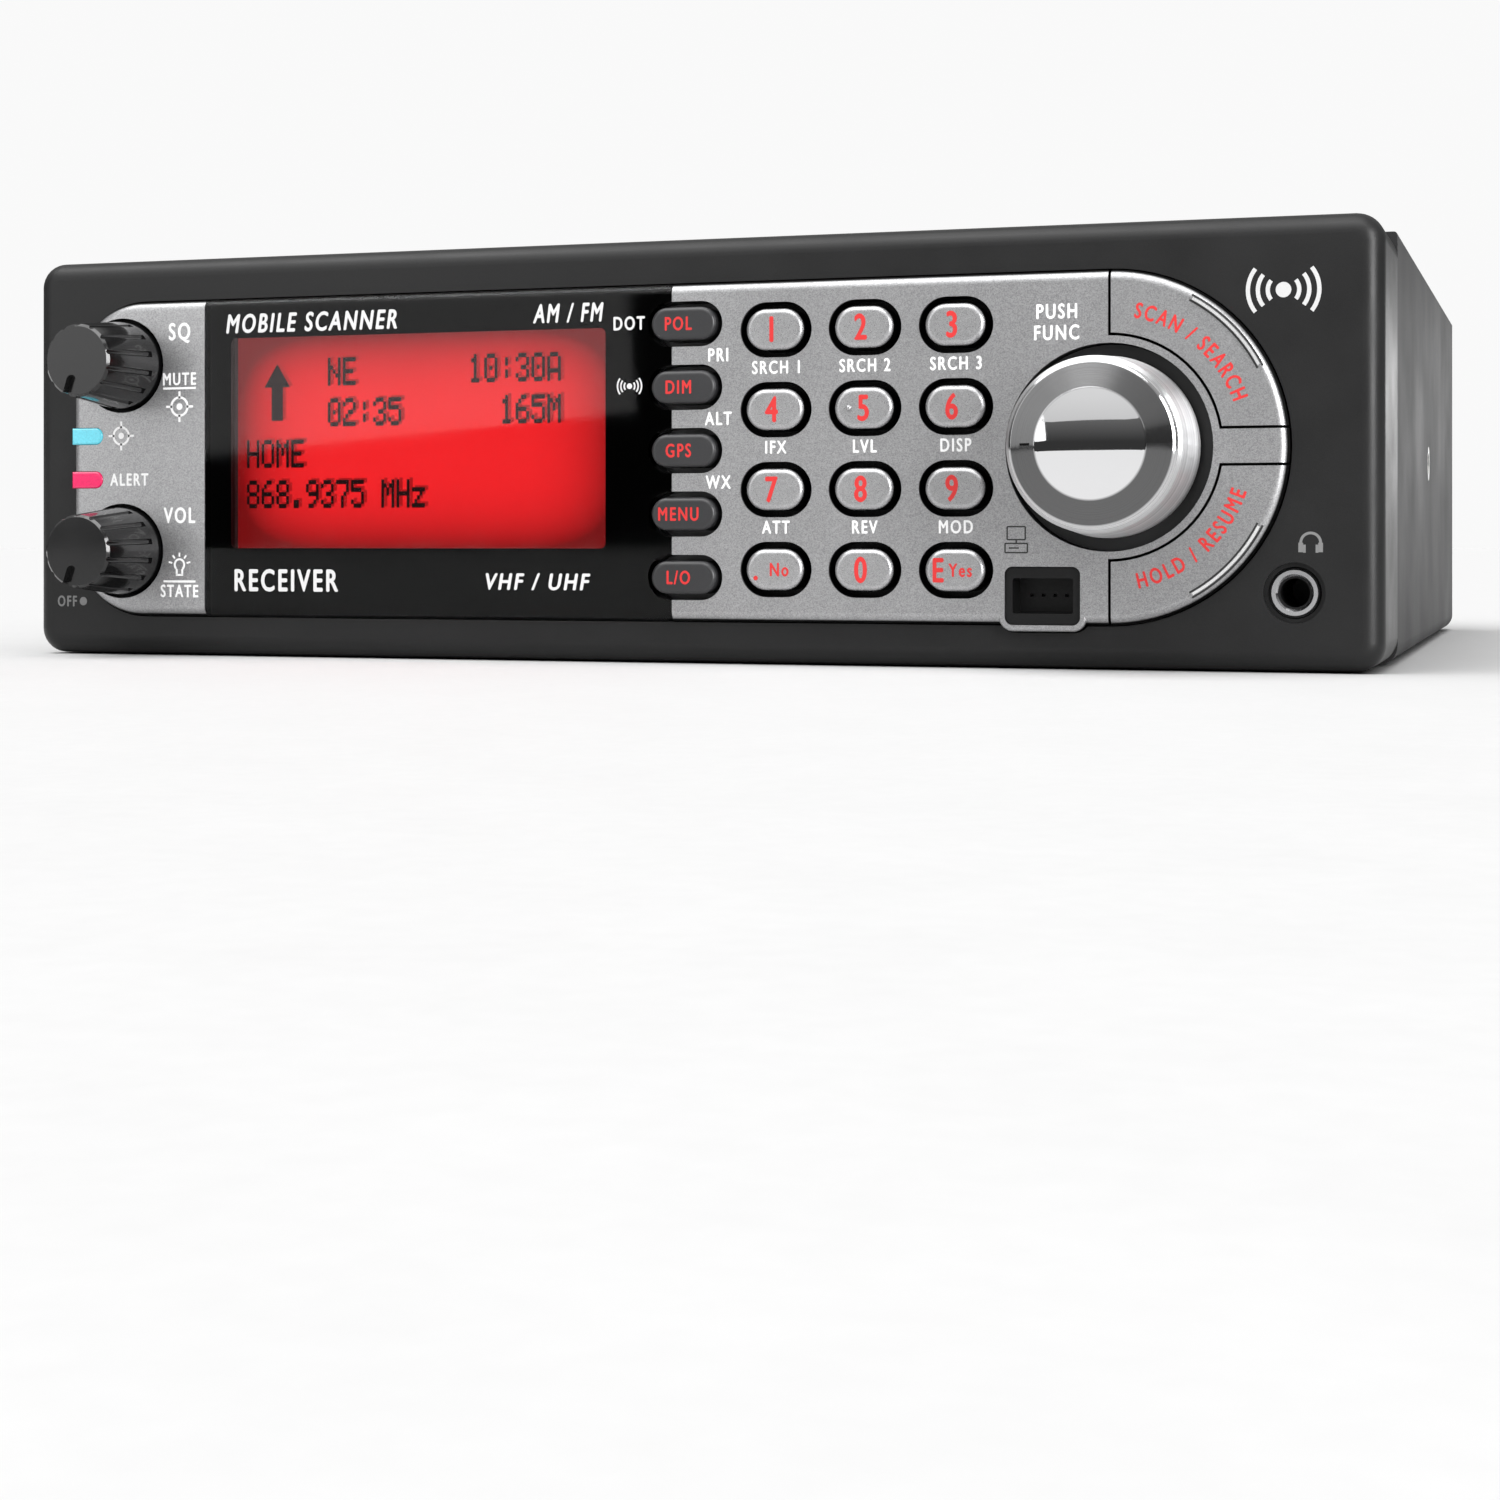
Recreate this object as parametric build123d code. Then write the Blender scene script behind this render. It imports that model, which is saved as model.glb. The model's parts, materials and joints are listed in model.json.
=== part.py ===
from build123d import *
import math
import os

# Police scanner: a dashboard-mounting radio receiver with a full-width control panel.
# Frame: +X to the right as seen from the front, +Y to the rear, +Z up.  The origin is the
# centre of the bottom face.  "Depth" is measured from the bezel's front face to the rear.
# All sizes are in millimetres.

# ---- overall sizes ----
body_width = 189.0
body_height = 56.0
body_depth = 167.0

# ---- front bezel ----
bezel_depth = 22.5
bezel_wall = 2.2
bezel_front_wall = 4.0
bezel_corner_radius = 3.5
bezel_edge_radius = 2.6
panel_pocket_depth = 2.5
panel_ledge = 1.6
panel_gap = 0.2
past = 1.0  # how far a cutter runs beyond the faces that it opens

# ---- control panel ----
panel_left_margin = 7.0
panel_right_margin = 11.15
panel_bottom_margin = 5.5
panel_top_margin = 6.2
panel_rise = 1.5
panel_edge_radius = 1.3
panel_left_corner_radius = 11.0

# ---- display ----
lens_from_panel_left = 21.5
lens_from_function_keys = 1.95
lens_thickness = 2.0
lens_gap = 0.1
mask_thickness = 0.25
view_left_margin = 3.3
view_right_margin = 9.85
view_bottom_margin = 9.5
view_top_margin = 5.4
view_corner_radius = 0.8
glass_margin = 1.2
glass_thickness = 1.8
lcd_frame_wall = 0.8
lcd_lip = 0.5
lcd_gap = 0.1
lcd_panel_gap = 0.3

# ---- keys ----
key_columns = 3
key_rows = 4
key_column_pitch = 11.96
key_to_dial_land = 0.63
key_row_bottom_margin = 6.8
key_row_top_margin = 6.4
key_cap_width = 7.8
key_cap_height = 5.4
key_side_gap = 0.95
key_end_gap = 0.9
key_proud = 0.8
key_edge_radius = 0.7
function_key_count = 5
function_key_to_column = 12.5
function_row_bottom_margin = 5.72
function_row_top_margin = 5.33
function_cap_width = 8.96
function_cap_height = 4.35
function_side_gap = 0.685
function_end_gap = 0.795
function_key_proud = 0.95
function_key_edge_radius = 0.6
key_flange_overlap = 0.5
key_flange_gap = 0.2
key_flange_thickness = 1.0
key_foot_depth = 4.0
key_travel = 0.8
key_stop_gap = 0.1
finger_dot_radius = 0.4
finger_dot_offset = 1.9

# ---- dial (function knob) and the two arc buttons around it ----
dial_flange_radius = 11.3
dial_recess_gap = 1.7
dial_ring_width = 0.9
dial_groove = 0.45
dial_flank_radius = 10.75
dial_rim_radius = 10.1
dial_face_radius = 6.75
dial_rear_depth = -0.4
dial_rim_depth = -13.0
dial_face_depth = -13.9
dial_dome_radius = 40.0
dial_shaft_radius = 3.0
dial_bushing_radius = 4.5
dial_mark_width = 0.3
dial_mark_inset = 0.6
dial_mark_depth = 0.55
surround_front = 0.9
surround_gap = 0.1
surround_flange_gap = 0.2
surround_bore_gap = 0.5
arc_gap = 0.35
arc_bridge_height = 4.2
arc_lip = 1.2
arc_plate_rear = 1.6
arc_foot_gap = 0.2
grip_radius_inset = 1.15
grip_width = 0.45
grip_proud = 0.35
grip_start_angle = 28.0
grip_end_angle = 60.0

# ---- squelch and volume knobs ----
knob_left_land = 1.4
squelch_top_land = 2.25
volume_bottom_land = 2.4
knob_base_radius = 6.25
knob_cap_radius = 5.05
knob_rear_depth = -0.6
knob_front_depth = -12.8
knob_front_bevel = 0.35
knob_base_band = 1.2
knob_recess_gap = 0.45
knob_recess_floor = 0.4
knob_shaft_radius = 3.0
knob_bushing_radius = 4.0
knob_flutes = 14
knob_flute_radius = 0.45
knob_flute_rear_depth = -3.2
knob_flute_sink = 0.65
knob_pointer_width = 1.5
knob_pointer_length = 2.2
knob_pointer_depth = 1.0
knob_pointer_angle = -108.0
knob_bore_end = -7.0
shaft_hole_gap = 0.3

# ---- controls behind the panel ----
running_clearance = 0.05
board_thickness = 1.6
bushing_front_depth = 2.7
control_body_depth = 6.4
pot_body_size = 13.0
encoder_body_size = 14.0
control_lid = 2.0
control_cavity_length = 3.4
control_wall = 2.0
collar_thickness = 1.0
collar_gap = 0.4
shaft_end_length = 1.4
actuator_gap = 0.3
actuator_thickness = 0.95
membrane_thickness = 1.1
membrane_gap = 0.5
pill_radius = 1.5
pill_length = 1.1
pill_gap = 0.9
board_hole_gap = 0.2
board_edge_gap = 0.6

# ---- light pipes ----
pipe_length = 5.0
pipe_height = 2.33
pipe_proud = 0.15
pipe_spacing = 6.2
pipe_offset = 0.15
pipe_leg_length = 1.3
pipe_edge_radius = 0.3
pipe_gap = 0.06
pipe_board_gap = 0.8
lamp_width = 1.2
lamp_height = 1.6
lamp_thickness = 0.6

# ---- front data jack ----
jack_from_dial = 8.3
jack_from_panel_bottom = 3.6
jack_opening_width = 9.6
jack_opening_height = 7.35
jack_opening_radius = 1.0
jack_rim = 0.8
jack_liner_front = -1.1
jack_liner_gap = 0.08
jack_liner_side = 0.95
jack_liner_end = 1.45
jack_floor_depth = 3.2
jack_contacts = 4
jack_contact_pitch = 1.5
jack_contact_width = 0.5
jack_contact_height = 0.4
jack_well_radius = 0.3

# ---- 3.5 mm audio jacks ----
audio_from_right = 10.7
audio_height = 9.65
audio_recess_width = 0.55
audio_recess_depth = 0.9
audio_hole_gap = 0.1
audio_nut_wall = 0.4
audio_nut_mouth_radius = 2.05
audio_nut_bevel = 0.25
audio_nut_chamfer = 0.3
audio_nut_lip = 0.5
audio_nut_length = 1.8
audio_bore_radius = 1.8
audio_nose_radius = 2.7
audio_bore_length = 14.0
audio_body_size = 7.0
audio_body_wall = 1.5
audio_body_gap = 0.3
nut_front_depth = 0.35

# ---- sheet steel case ----
sheet = 1.2
case_bottom_radius = 2.5
case_top_radius = 0.5
case_flange = 8.0
case_fit_gap = 0.1
rear_panel_thickness = 1.5
vent_slots = 9
vent_slot_width = 2.2
vent_slot_height = 24.0
vent_slot_pitch = 5.0
vent_top_gap = 5.0
bracket_hole_radius = 1.65
bracket_insert_radius = 2.6
bracket_insert_flange_radius = 4.0
bracket_insert_flange = 3.0
bracket_hole_depth = 92.0
bracket_hole_height = 28.0

# ---- screws (M3, pan head) ----
screw_radius = 1.5
screw_head_radius = 2.75
screw_head_height = 1.9
screw_length = 6.0
screw_hole_gap = 0.2
screw_thread_gap = 0.05
screw_tip_gap = 0.1
screw_head_edge = 0.8
screw_slot_length = 3.3
screw_slot_width = 0.7
screw_slot_depth = 0.9
boss_wall = 1.25
boss_wall_overlap = 0.4
post_wall = 0.65
case_screw_inset = 5.2
cover_screw_end = 10.0
tub_screw_depth = 3.0
rear_screw_height = 10.0
post_inset = 2.8
post_left_x = 60.0
post_to_dial = 31.0

# ---- inside ----
main_board_margin = 15.0
main_board_front = 32.0
main_board_rear_gap = 9.0
standoff_height = 6.8
standoff_radius = 3.0
standoff_inset = 6.0
shield_right_gap = 12.0
shield_front_gap = 18.0
shield_width = 62.0
shield_length = 46.0
shield_height = 15.0
shield_wall = 0.5
chip_size = 14.0
chip_height = 1.6
chip_left_gap = 24.0
chip_front_gap = 20.0
chip_count = 2
capacitor_radius = 5.0
capacitor_height = 14.0
capacitor_count = 4
capacitor_pitch = 13.0
capacitor_left_gap = 20.0
capacitor_rear_gap = 30.0

# ---- loudspeaker ----
speaker_depth = 92.0
speaker_size = 66.0
speaker_screw_spacing = 56.0
speaker_corner_radius = 6.0
speaker_flange = 1.2
speaker_basket_radius = 30.0
speaker_basket_height = 11.0
speaker_basket_floor_radius = 15.0
speaker_basket_wall = 1.2
speaker_magnet_radius = 17.0
speaker_magnet_height = 8.0
cone_thickness = 0.6
cone_gap = 1.2
cone_cover_gap = 0.6
cone_rim = 3.0
cone_slope_step = 0.4
cone_cap_rise = 1.5
cone_neck_radius = 8.0
cone_height = 8.0
grille_radius = 27.0
grille_slot_width = 2.4
grille_slot_pitch = 4.8

# ---- rear connectors ----
antenna_x = 70.0
antenna_z = 30.0
antenna_barrel_radius = 4.83
antenna_barrel_wall = 0.77
antenna_barrel_length = 13.0
antenna_bore_depth = 8.5
antenna_flange_radius = 7.2
antenna_flange_thickness = 2.2
antenna_contact_radius = 1.1
antenna_contact_bore = 0.6
antenna_contact_recess = 1.5
antenna_contact_bore_depth = 5.0
antenna_bevel = 0.4
antenna_tail_radius = 4.6
antenna_tail_length = 9.0
antenna_lug_radius = 1.0
antenna_lug_reach = 5.6
antenna_lug_sink = 0.3
antenna_lug_from_end = 4.2
rear_hole_gap = 0.1
speaker_jack_x = 40.0
power_jack_x = 18.0
rear_jack_z = 15.0
power_ring_radius = 5.6
power_ring_thickness = 1.5
power_body_radius = 4.6
power_body_length = 14.0
power_bore_radius = 2.85
power_bore_depth = 9.5
power_pin_radius = 1.0
power_pin_recess = 1.0
power_bevel = 0.4
serial_x = -35.0
serial_z = 16.0
serial_flange_width = 30.8
serial_flange_height = 12.5
serial_flange_thickness = 1.0
serial_shell_top = 18.0
serial_shell_bottom = 15.2
serial_shell_height = 8.4
serial_shell_radius = 2.2
serial_shell_wall = 0.5
serial_shell_length = 5.8
serial_flange_radius = 1.2
serial_gap = 0.3
serial_screw_spacing = 24.99
serial_post_radius = 2.75
serial_post_length = 4.0
serial_post_hole_radius = 1.42
serial_body_length = 9.0
serial_pin_pitch = 2.77
serial_pin_row_pitch = 2.84
serial_pin_radius = 0.55
serial_pin_depth = 3.7
serial_block_gap = 0.05
serial_block_recess = 0.3

# ---- worked out from the above ----
half_width = body_width / 2
front_y = -body_depth / 2
middle_z = body_height / 2
panel_left = -half_width + panel_left_margin
panel_bottom = panel_bottom_margin
panel_top = body_height - panel_top_margin
panel_radius = (panel_top - panel_bottom) / 2
dial_x = half_width - panel_right_margin - panel_radius
dial_z = (panel_top + panel_bottom) / 2
panel_rear = panel_pocket_depth
window_radius = panel_radius - panel_ledge
dial_recess_radius = dial_flange_radius + dial_recess_gap
dial_ring_radius = dial_recess_radius + dial_ring_width
key_hole_width = key_cap_width + 2 * key_side_gap
key_hole_height = key_cap_height + 2 * key_end_gap
function_hole_width = function_cap_width + 2 * function_side_gap
function_hole_height = function_cap_height + 2 * function_end_gap
key_last_x = dial_x - dial_ring_radius - key_to_dial_land - key_hole_width / 2
key_row_pitch = (panel_top - panel_bottom - key_row_bottom_margin - key_row_top_margin) / (key_rows - 1)
key_first_z = panel_bottom + key_row_bottom_margin
function_x = key_last_x - (key_columns - 1) * key_column_pitch - function_key_to_column
function_span = panel_top - panel_bottom - function_row_bottom_margin - function_row_top_margin
function_pitch = function_span / (function_key_count - 1)
function_first_z = panel_bottom + function_row_bottom_margin
lens_left = panel_left + lens_from_panel_left
lens_right = function_x - lens_from_function_keys
lens_rear = lens_thickness - panel_rise
view_left = lens_left + view_left_margin
view_right = lens_right - view_right_margin
view_bottom = panel_bottom + view_bottom_margin
view_top = panel_top - view_top_margin
knob_recess_radius = knob_base_radius + knob_recess_gap
knob_x = panel_left + knob_recess_radius + knob_left_land
squelch_z = panel_top - knob_recess_radius - squelch_top_land
volume_z = panel_bottom + knob_recess_radius + volume_bottom_land
flange_front = panel_rear + key_flange_gap
membrane_front = key_foot_depth + key_travel + key_stop_gap
membrane_rear = membrane_front + membrane_thickness
board_depth = membrane_rear + pill_length + pill_gap
board_rear = board_depth + board_thickness
control_rear = board_rear + control_body_depth
control_cavity_front = board_rear + control_lid
control_cavity_rear = control_cavity_front + control_cavity_length
shaft_end_depth = control_cavity_front + shaft_end_length
actuator_front = shaft_end_depth + running_clearance
lcd_frame_front = panel_rear + lcd_panel_gap
lcd_glass_front = lcd_frame_front + lcd_frame_wall
lcd_glass_rear = lcd_glass_front + glass_thickness
jack_x = dial_x - jack_from_dial
jack_z = panel_bottom + jack_from_panel_bottom
audio_x = half_width - audio_from_right
audio_nut_radius = audio_nose_radius + audio_nut_wall
audio_hole_radius = audio_nut_radius + audio_hole_gap
audio_recess_radius = audio_hole_radius + audio_recess_width
screw_hole_radius = screw_radius + screw_hole_gap
screw_thread_radius = screw_radius + screw_thread_gap
boss_radius = screw_thread_radius + boss_wall
post_radius = screw_thread_radius + post_wall
boss_x = half_width - bezel_wall - boss_radius + boss_wall_overlap
boss_low_z = bezel_wall + boss_radius - boss_wall_overlap
post_right_x = dial_x - post_to_dial
case_inner_x = half_width - sheet
cover_z = body_height - sheet
case_screw_x = half_width - case_screw_inset
main_board_z = sheet + standoff_height
main_board_half = half_width - main_board_margin
main_board_rear = body_depth - main_board_rear_gap
speaker_y = front_y + speaker_depth
jack_mouth_depth = nut_front_depth + audio_nut_lip + running_clearance
rear_nut_depth = body_depth + audio_nut_length
rear_mouth_depth = rear_nut_depth - audio_nut_lip - running_clearance
antenna_bore_radius = antenna_barrel_radius - antenna_barrel_wall


def at(depth):
    """Y of a depth behind the bezel's front face."""
    return front_y + depth


def slab(outline, near, far):
    """Solid with an X-Z outline, between two depths."""
    return extrude(Plane.XZ.offset(-at(far)) * outline, far - near)


def box(x0, x1, near, far, z0, z1):
    """Block between two X, two depths and two Z."""
    centre = Pos((x0 + x1) / 2, at((near + far) / 2), (z0 + z1) / 2)
    return centre * Box(x1 - x0, far - near, z1 - z0)


def rod(x, z, radius, near, far):
    """Cylinder along Y."""
    return slab(Pos(x, z) * Circle(radius), near, far)


def post(x, depth, radius, z0, z1):
    """Cylinder along Z."""
    return Pos(x, at(depth), (z0 + z1) / 2) * Cylinder(radius, z1 - z0)


def turned(x, z, profile):
    """Solid of revolution about a Y axis, from (radius, depth) points."""
    points = [(radius, at(depth)) for radius, depth in profile]
    face = make_face(Polyline(*points, close=True))
    return Pos(x, 0, z) * revolve(face, Axis.Y)


def spun(x, depth, profile):
    """Solid of revolution about a Z axis, from (radius, z) points."""
    face = make_face(Plane.XZ * Polyline(*profile, close=True))
    return Pos(x, at(depth), 0) * revolve(face, Axis.Z)


def cut_all(solid, cutters):
    """Take several cutters from a solid."""
    for cutter in cutters:
        solid = solid - cutter
    return solid


# ---- shared outlines ----

def panel_outline(grow=0.0):
    """Panel shape: rounded left corners and a half-round right end."""
    radius = panel_radius + grow
    left = panel_left - grow
    block = Pos((left + dial_x) / 2, dial_z) * Rectangle(dial_x - left, 2 * radius)
    left_corners = block.vertices().sort_by(Axis.X)[:2]
    block = fillet(left_corners, panel_left_corner_radius + grow)
    return block + Pos(dial_x, dial_z) * Circle(radius)


def jack_outline(grow=0.0):
    """Data jack opening."""
    opening = RectangleRounded(
        jack_opening_width + 2 * grow, jack_opening_height + 2 * grow, jack_opening_radius + grow
    )
    return Pos(jack_x, jack_z) * opening


def panel_blank():
    """Panel plate with its rounded front edge, before any opening is cut."""
    plate = slab(panel_outline(), -panel_rise, panel_rear)
    front_edges = plate.edges().group_by(Axis.Y)[0]
    return fillet(front_edges, panel_edge_radius)


def sector(inner, outer, side, clearance=0.0):
    """Quarter ring around the dial, above it (side 1) or below it (side -1)."""
    ring = Circle(outer) - Circle(inner)
    low = arc_bridge_height / 2 + clearance
    quarter = Pos(clearance + outer, side * (low + outer)) * Rectangle(2 * outer, 2 * outer)
    return Pos(dial_x, dial_z) * (ring & quarter)


def stadium(x, z, width, height):
    """Slot with round ends."""
    return Pos(x, z) * SlotOverall(width, height)


def number_key_places():
    """Name, x and z of every key of the number pad."""
    rows = [
        ["key_dot", "key_0", "key_enter"],
        ["key_7", "key_8", "key_9"],
        ["key_4", "key_5", "key_6"],
        ["key_1", "key_2", "key_3"],
    ]
    places = []
    for row, names in enumerate(rows):
        for column, name in enumerate(names):
            x = key_last_x - (key_columns - 1 - column) * key_column_pitch
            places.append((name, x, key_first_z + row * key_row_pitch))
    return places


def function_key_places():
    """Name, x and z of every function key, from the top down."""
    places = []
    for index in range(function_key_count):
        z = function_first_z + (function_key_count - 1 - index) * function_pitch
        places.append(("function_key_%d" % (index + 1), function_x, z))
    return places


def knob_places():
    """Name, x and z of the two small knobs."""
    return [("squelch", knob_x, squelch_z), ("volume", knob_x, volume_z)]


def pipe_places():
    """Name and z of the two light pipes."""
    middle = dial_z + pipe_offset
    return [("status", middle + pipe_spacing / 2), ("alert", middle - pipe_spacing / 2)]


def front_post_places():
    """X and z of the bezel posts that carry the front board."""
    low = bezel_wall + post_inset
    high = body_height - low
    return [(x, z) for x in (-post_left_x, post_right_x) for z in (low, high)]


def bezel_boss_places():
    """X and z of the bezel bosses that the case is screwed to."""
    high = body_height - boss_low_z
    return [(x, z) for x in (-boss_x, boss_x) for z in (boss_low_z, high)]


# ---- front bezel ----

def make_front_bezel():
    """Moulded front frame with a stepped pocket for the control panel."""
    outline = Pos(0, middle_z) * RectangleRounded(body_width, body_height, bezel_corner_radius)
    outer = slab(outline, 0, bezel_depth)
    outer = fillet(outer.edges().group_by(Axis.Y)[0], bezel_edge_radius)
    inner_radius = bezel_corner_radius - bezel_wall
    inner = RectangleRounded(body_width - 2 * bezel_wall, body_height - 2 * bezel_wall, inner_radius)
    bezel = outer - slab(Pos(0, middle_z) * inner, bezel_front_wall, bezel_depth + past)
    for x, z in bezel_boss_places():
        bezel = bezel + rod(x, z, boss_radius, bezel_front_wall, bezel_depth)
    for x, z in front_post_places():
        bezel = bezel + rod(x, z, post_radius, bezel_front_wall, board_depth)
    through = bezel_front_wall + 0.01
    cutters = [
        slab(panel_outline(panel_gap), -past, panel_pocket_depth),
        slab(jack_outline(jack_rim + panel_gap), -past, panel_pocket_depth),
        slab(panel_outline(-panel_ledge), -past, through),
        slab(jack_outline(panel_gap), -past, through),
        rod(audio_x, audio_height, audio_recess_radius, -past, audio_recess_depth),
        rod(audio_x, audio_height, audio_hole_radius, -past, through),
    ]
    for x, z in bezel_boss_places():
        cutters.append(rod(x, z, screw_thread_radius, bezel_depth - screw_length, bezel_depth + past))
    hole_end = board_rear - screw_length - screw_tip_gap
    for x, z in front_post_places():
        cutters.append(rod(x, z, screw_thread_radius, hole_end, board_depth + past))
    return cut_all(bezel, cutters)


# ---- control panel and display ----

def make_control_panel():
    """Silver panel plate with every opening for the keys, knobs, lens and jack."""
    rim = slab(jack_outline(jack_rim), -panel_rise, panel_rear)
    rim = fillet(rim.edges().group_by(Axis.Y)[0], jack_rim / 2)
    panel = panel_blank() + rim
    lens_middle = (lens_left + lens_right) / 2
    lens_width = lens_right - lens_left + 2 * lens_gap
    lens_bay = Pos(lens_middle, dial_z) * Rectangle(lens_width, body_height)
    view = Pos((view_left + view_right) / 2, (view_bottom + view_top) / 2) * Rectangle(
        view_right - view_left + glass_margin, view_top - view_bottom + glass_margin
    )
    front = -panel_rise - past
    rear = panel_rear + past
    cutters = [
        slab(lens_bay, front, lens_rear + mask_thickness),
        slab(view, front, rear),
        rod(dial_x, dial_z, dial_recess_radius, front, rear),
        slab(jack_outline(), front, rear),
    ]
    for side in (1, -1):
        bay = sector(dial_ring_radius, panel_radius + past, side)
        cutters.append(slab(bay, front, rear))
    for name, x, z in number_key_places():
        cutters.append(slab(stadium(x, z, key_hole_width, key_hole_height), front, rear))
    for name, x, z in function_key_places():
        cutters.append(slab(stadium(x, z, function_hole_width, function_hole_height), front, rear))
    for name, x, z in knob_places():
        cutters.append(rod(x, z, knob_recess_radius, front, knob_recess_floor))
        cutters.append(rod(x, z, knob_shaft_radius + shaft_hole_gap, front, rear))
    for name, z in pipe_places():
        cutters.append(slab(pipe_outline(z, pipe_gap), front, rear))
    return cut_all(panel, cutters)


def lens_slice(near, far):
    """The part of the panel blank that the lens takes up, with the function key notches."""
    piece = panel_blank() & box(lens_left, lens_right, near, far, 0, body_height)
    for name, x, z in function_key_places():
        notch = stadium(x, z, function_hole_width, function_hole_height)
        piece = piece - slab(notch, near - past, far + past)
    return piece


def make_display_lens():
    """Clear window, flush with the panel and as tall as it."""
    return lens_slice(-panel_rise - past, lens_rear)


def make_lens_mask():
    """Black printed film behind the lens, with the display's window in it."""
    view = Pos((view_left + view_right) / 2, (view_bottom + view_top) / 2) * RectangleRounded(
        view_right - view_left, view_top - view_bottom, view_corner_radius
    )
    film = lens_slice(lens_rear, lens_rear + mask_thickness)
    return film - slab(view, lens_rear - past, lens_rear + past)


def lcd_rectangle(margin):
    """Rectangle around the display's visible area."""
    width = view_right - view_left + 2 * margin
    height = view_top - view_bottom + 2 * margin
    return Pos((view_left + view_right) / 2, (view_bottom + view_top) / 2) * Rectangle(width, height)


def make_lcd_frame():
    """Pressed steel frame that holds the glass and the backlight on the front board."""
    outer = slab(lcd_rectangle(glass_margin + lcd_gap + lcd_frame_wall), lcd_frame_front, board_depth)
    hollow = slab(lcd_rectangle(glass_margin + lcd_gap), lcd_glass_front, board_depth + past)
    window = slab(lcd_rectangle(glass_margin - lcd_lip), lcd_frame_front - past, lcd_glass_front + past)
    return outer - hollow - window


def make_lcd_glass():
    """Dot-matrix display glass."""
    return slab(lcd_rectangle(glass_margin), lcd_glass_front, lcd_glass_rear)


def make_backlight_guide():
    """Light guide block behind the glass."""
    return slab(lcd_rectangle(glass_margin), lcd_glass_rear, board_depth)


# ---- keys ----

def make_key(x, z, cap, hole, proud, edge_radius):
    """Key cap with a flange that keeps it behind the panel."""
    body = slab(stadium(x, z, *cap), -panel_rise - proud, key_foot_depth)
    body = fillet(body.edges().group_by(Axis.Y)[0], edge_radius)
    flange_outline = stadium(x, z, hole[0] + 2 * key_flange_overlap, hole[1] + 2 * key_flange_overlap)
    return body + slab(flange_outline, flange_front, flange_front + key_flange_thickness)


def make_number_key(name, x, z):
    """Number pad key.  The middle key has a raised dot for the fingertip."""
    cap = (key_cap_width, key_cap_height)
    hole = (key_hole_width, key_hole_height)
    key = make_key(x, z, cap, hole, key_proud, key_edge_radius)
    if name == "key_5":
        dot = Pos(x - finger_dot_offset, at(-panel_rise - key_proud), z) * Sphere(finger_dot_radius)
        key = key + dot
    return key


def make_function_key(x, z):
    """Dark key between the display and the number pad."""
    cap = (function_cap_width, function_cap_height)
    hole = (function_hole_width, function_hole_height)
    return make_key(x, z, cap, hole, function_key_proud, function_key_edge_radius)


def make_arc_button(side):
    """Quarter-ring button beside the dial, with a raised grip near its outer edge."""
    inner = dial_ring_radius + arc_gap
    face = slab(sector(inner, panel_radius + past, side, arc_gap), -panel_rise - past, arc_plate_rear)
    button = panel_blank() & face
    foot_inner = inner + arc_foot_gap
    foot_outer = window_radius - panel_gap
    foot = slab(sector(foot_inner, foot_outer, side, arc_gap), arc_plate_rear, key_foot_depth)
    lip_outline = sector(foot_inner, foot_outer, side, -arc_lip)
    lip = slab(lip_outline, flange_front, flange_front + key_flange_thickness)
    return button + foot + lip + make_grip(side)


def make_grip(side):
    """Curved rib on an arc button."""
    radius = panel_radius - grip_radius_inset
    middle = math.radians((grip_start_angle + grip_end_angle) / 2)
    sweep_angle = grip_end_angle - grip_start_angle
    band = Circle(radius + grip_width / 2) - Circle(radius - grip_width / 2)
    reach = 2 * panel_radius
    half_chord = reach * math.tan(math.radians(sweep_angle / 2))
    wedge = make_face(Polyline((0, 0), (reach, half_chord), (reach, -half_chord), close=True))
    band = band & (Rot(0, 0, math.degrees(middle)) * wedge)
    for angle in (grip_start_angle, grip_end_angle):
        turn = math.radians(angle)
        band = band + Pos(radius * math.cos(turn), radius * math.sin(turn)) * Circle(grip_width / 2)
    if side < 0:
        band = mirror(band, Plane.XZ)
    return slab(Pos(dial_x, dial_z) * band, -panel_rise - grip_proud, arc_plate_rear)


# ---- knobs ----

def make_small_knob(x, z):
    """Tapered knob with fluted sides and a pointer notch in its face."""
    bevel = knob_front_bevel
    knob = turned(x, z, [
        (knob_shaft_radius, knob_rear_depth),
        (knob_base_radius, knob_rear_depth),
        (knob_base_radius, knob_rear_depth - knob_base_band),
        (knob_cap_radius, knob_front_depth + bevel),
        (knob_cap_radius - bevel, knob_front_depth),
        (0, knob_front_depth),
        (0, knob_bore_end),
        (knob_shaft_radius, knob_bore_end),
    ])
    return knob - knob_flute_cutters(x, z) - knob_pointer_cutter(x, z)


def knob_flute_cutters(x, z):
    """Grooves that follow the knob's taper."""
    taper_length = knob_rear_depth - knob_base_band - knob_front_depth
    taper = math.degrees(math.atan2(knob_base_radius - knob_cap_radius, taper_length))
    front_end = knob_front_depth - 2 * past
    length = knob_flute_rear_depth - front_end
    middle_depth = (knob_flute_rear_depth + front_end) / 2
    share = (middle_depth - knob_front_depth) / taper_length
    surface = knob_cap_radius + share * (knob_base_radius - knob_cap_radius)
    radius = surface + knob_flute_radius * (1 - knob_flute_sink)
    groove = Rot(90, 0, 0) * Cylinder(knob_flute_radius, length)
    groove = Pos(radius, at(middle_depth), 0) * (Rot(0, 0, -taper) * groove)
    cutters = []
    for index in range(knob_flutes):
        angle = 360 * (index + 0.5) / knob_flutes
        cutters.append(Pos(x, 0, z) * (Rot(0, angle, 0) * groove))
    return cutters


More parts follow.
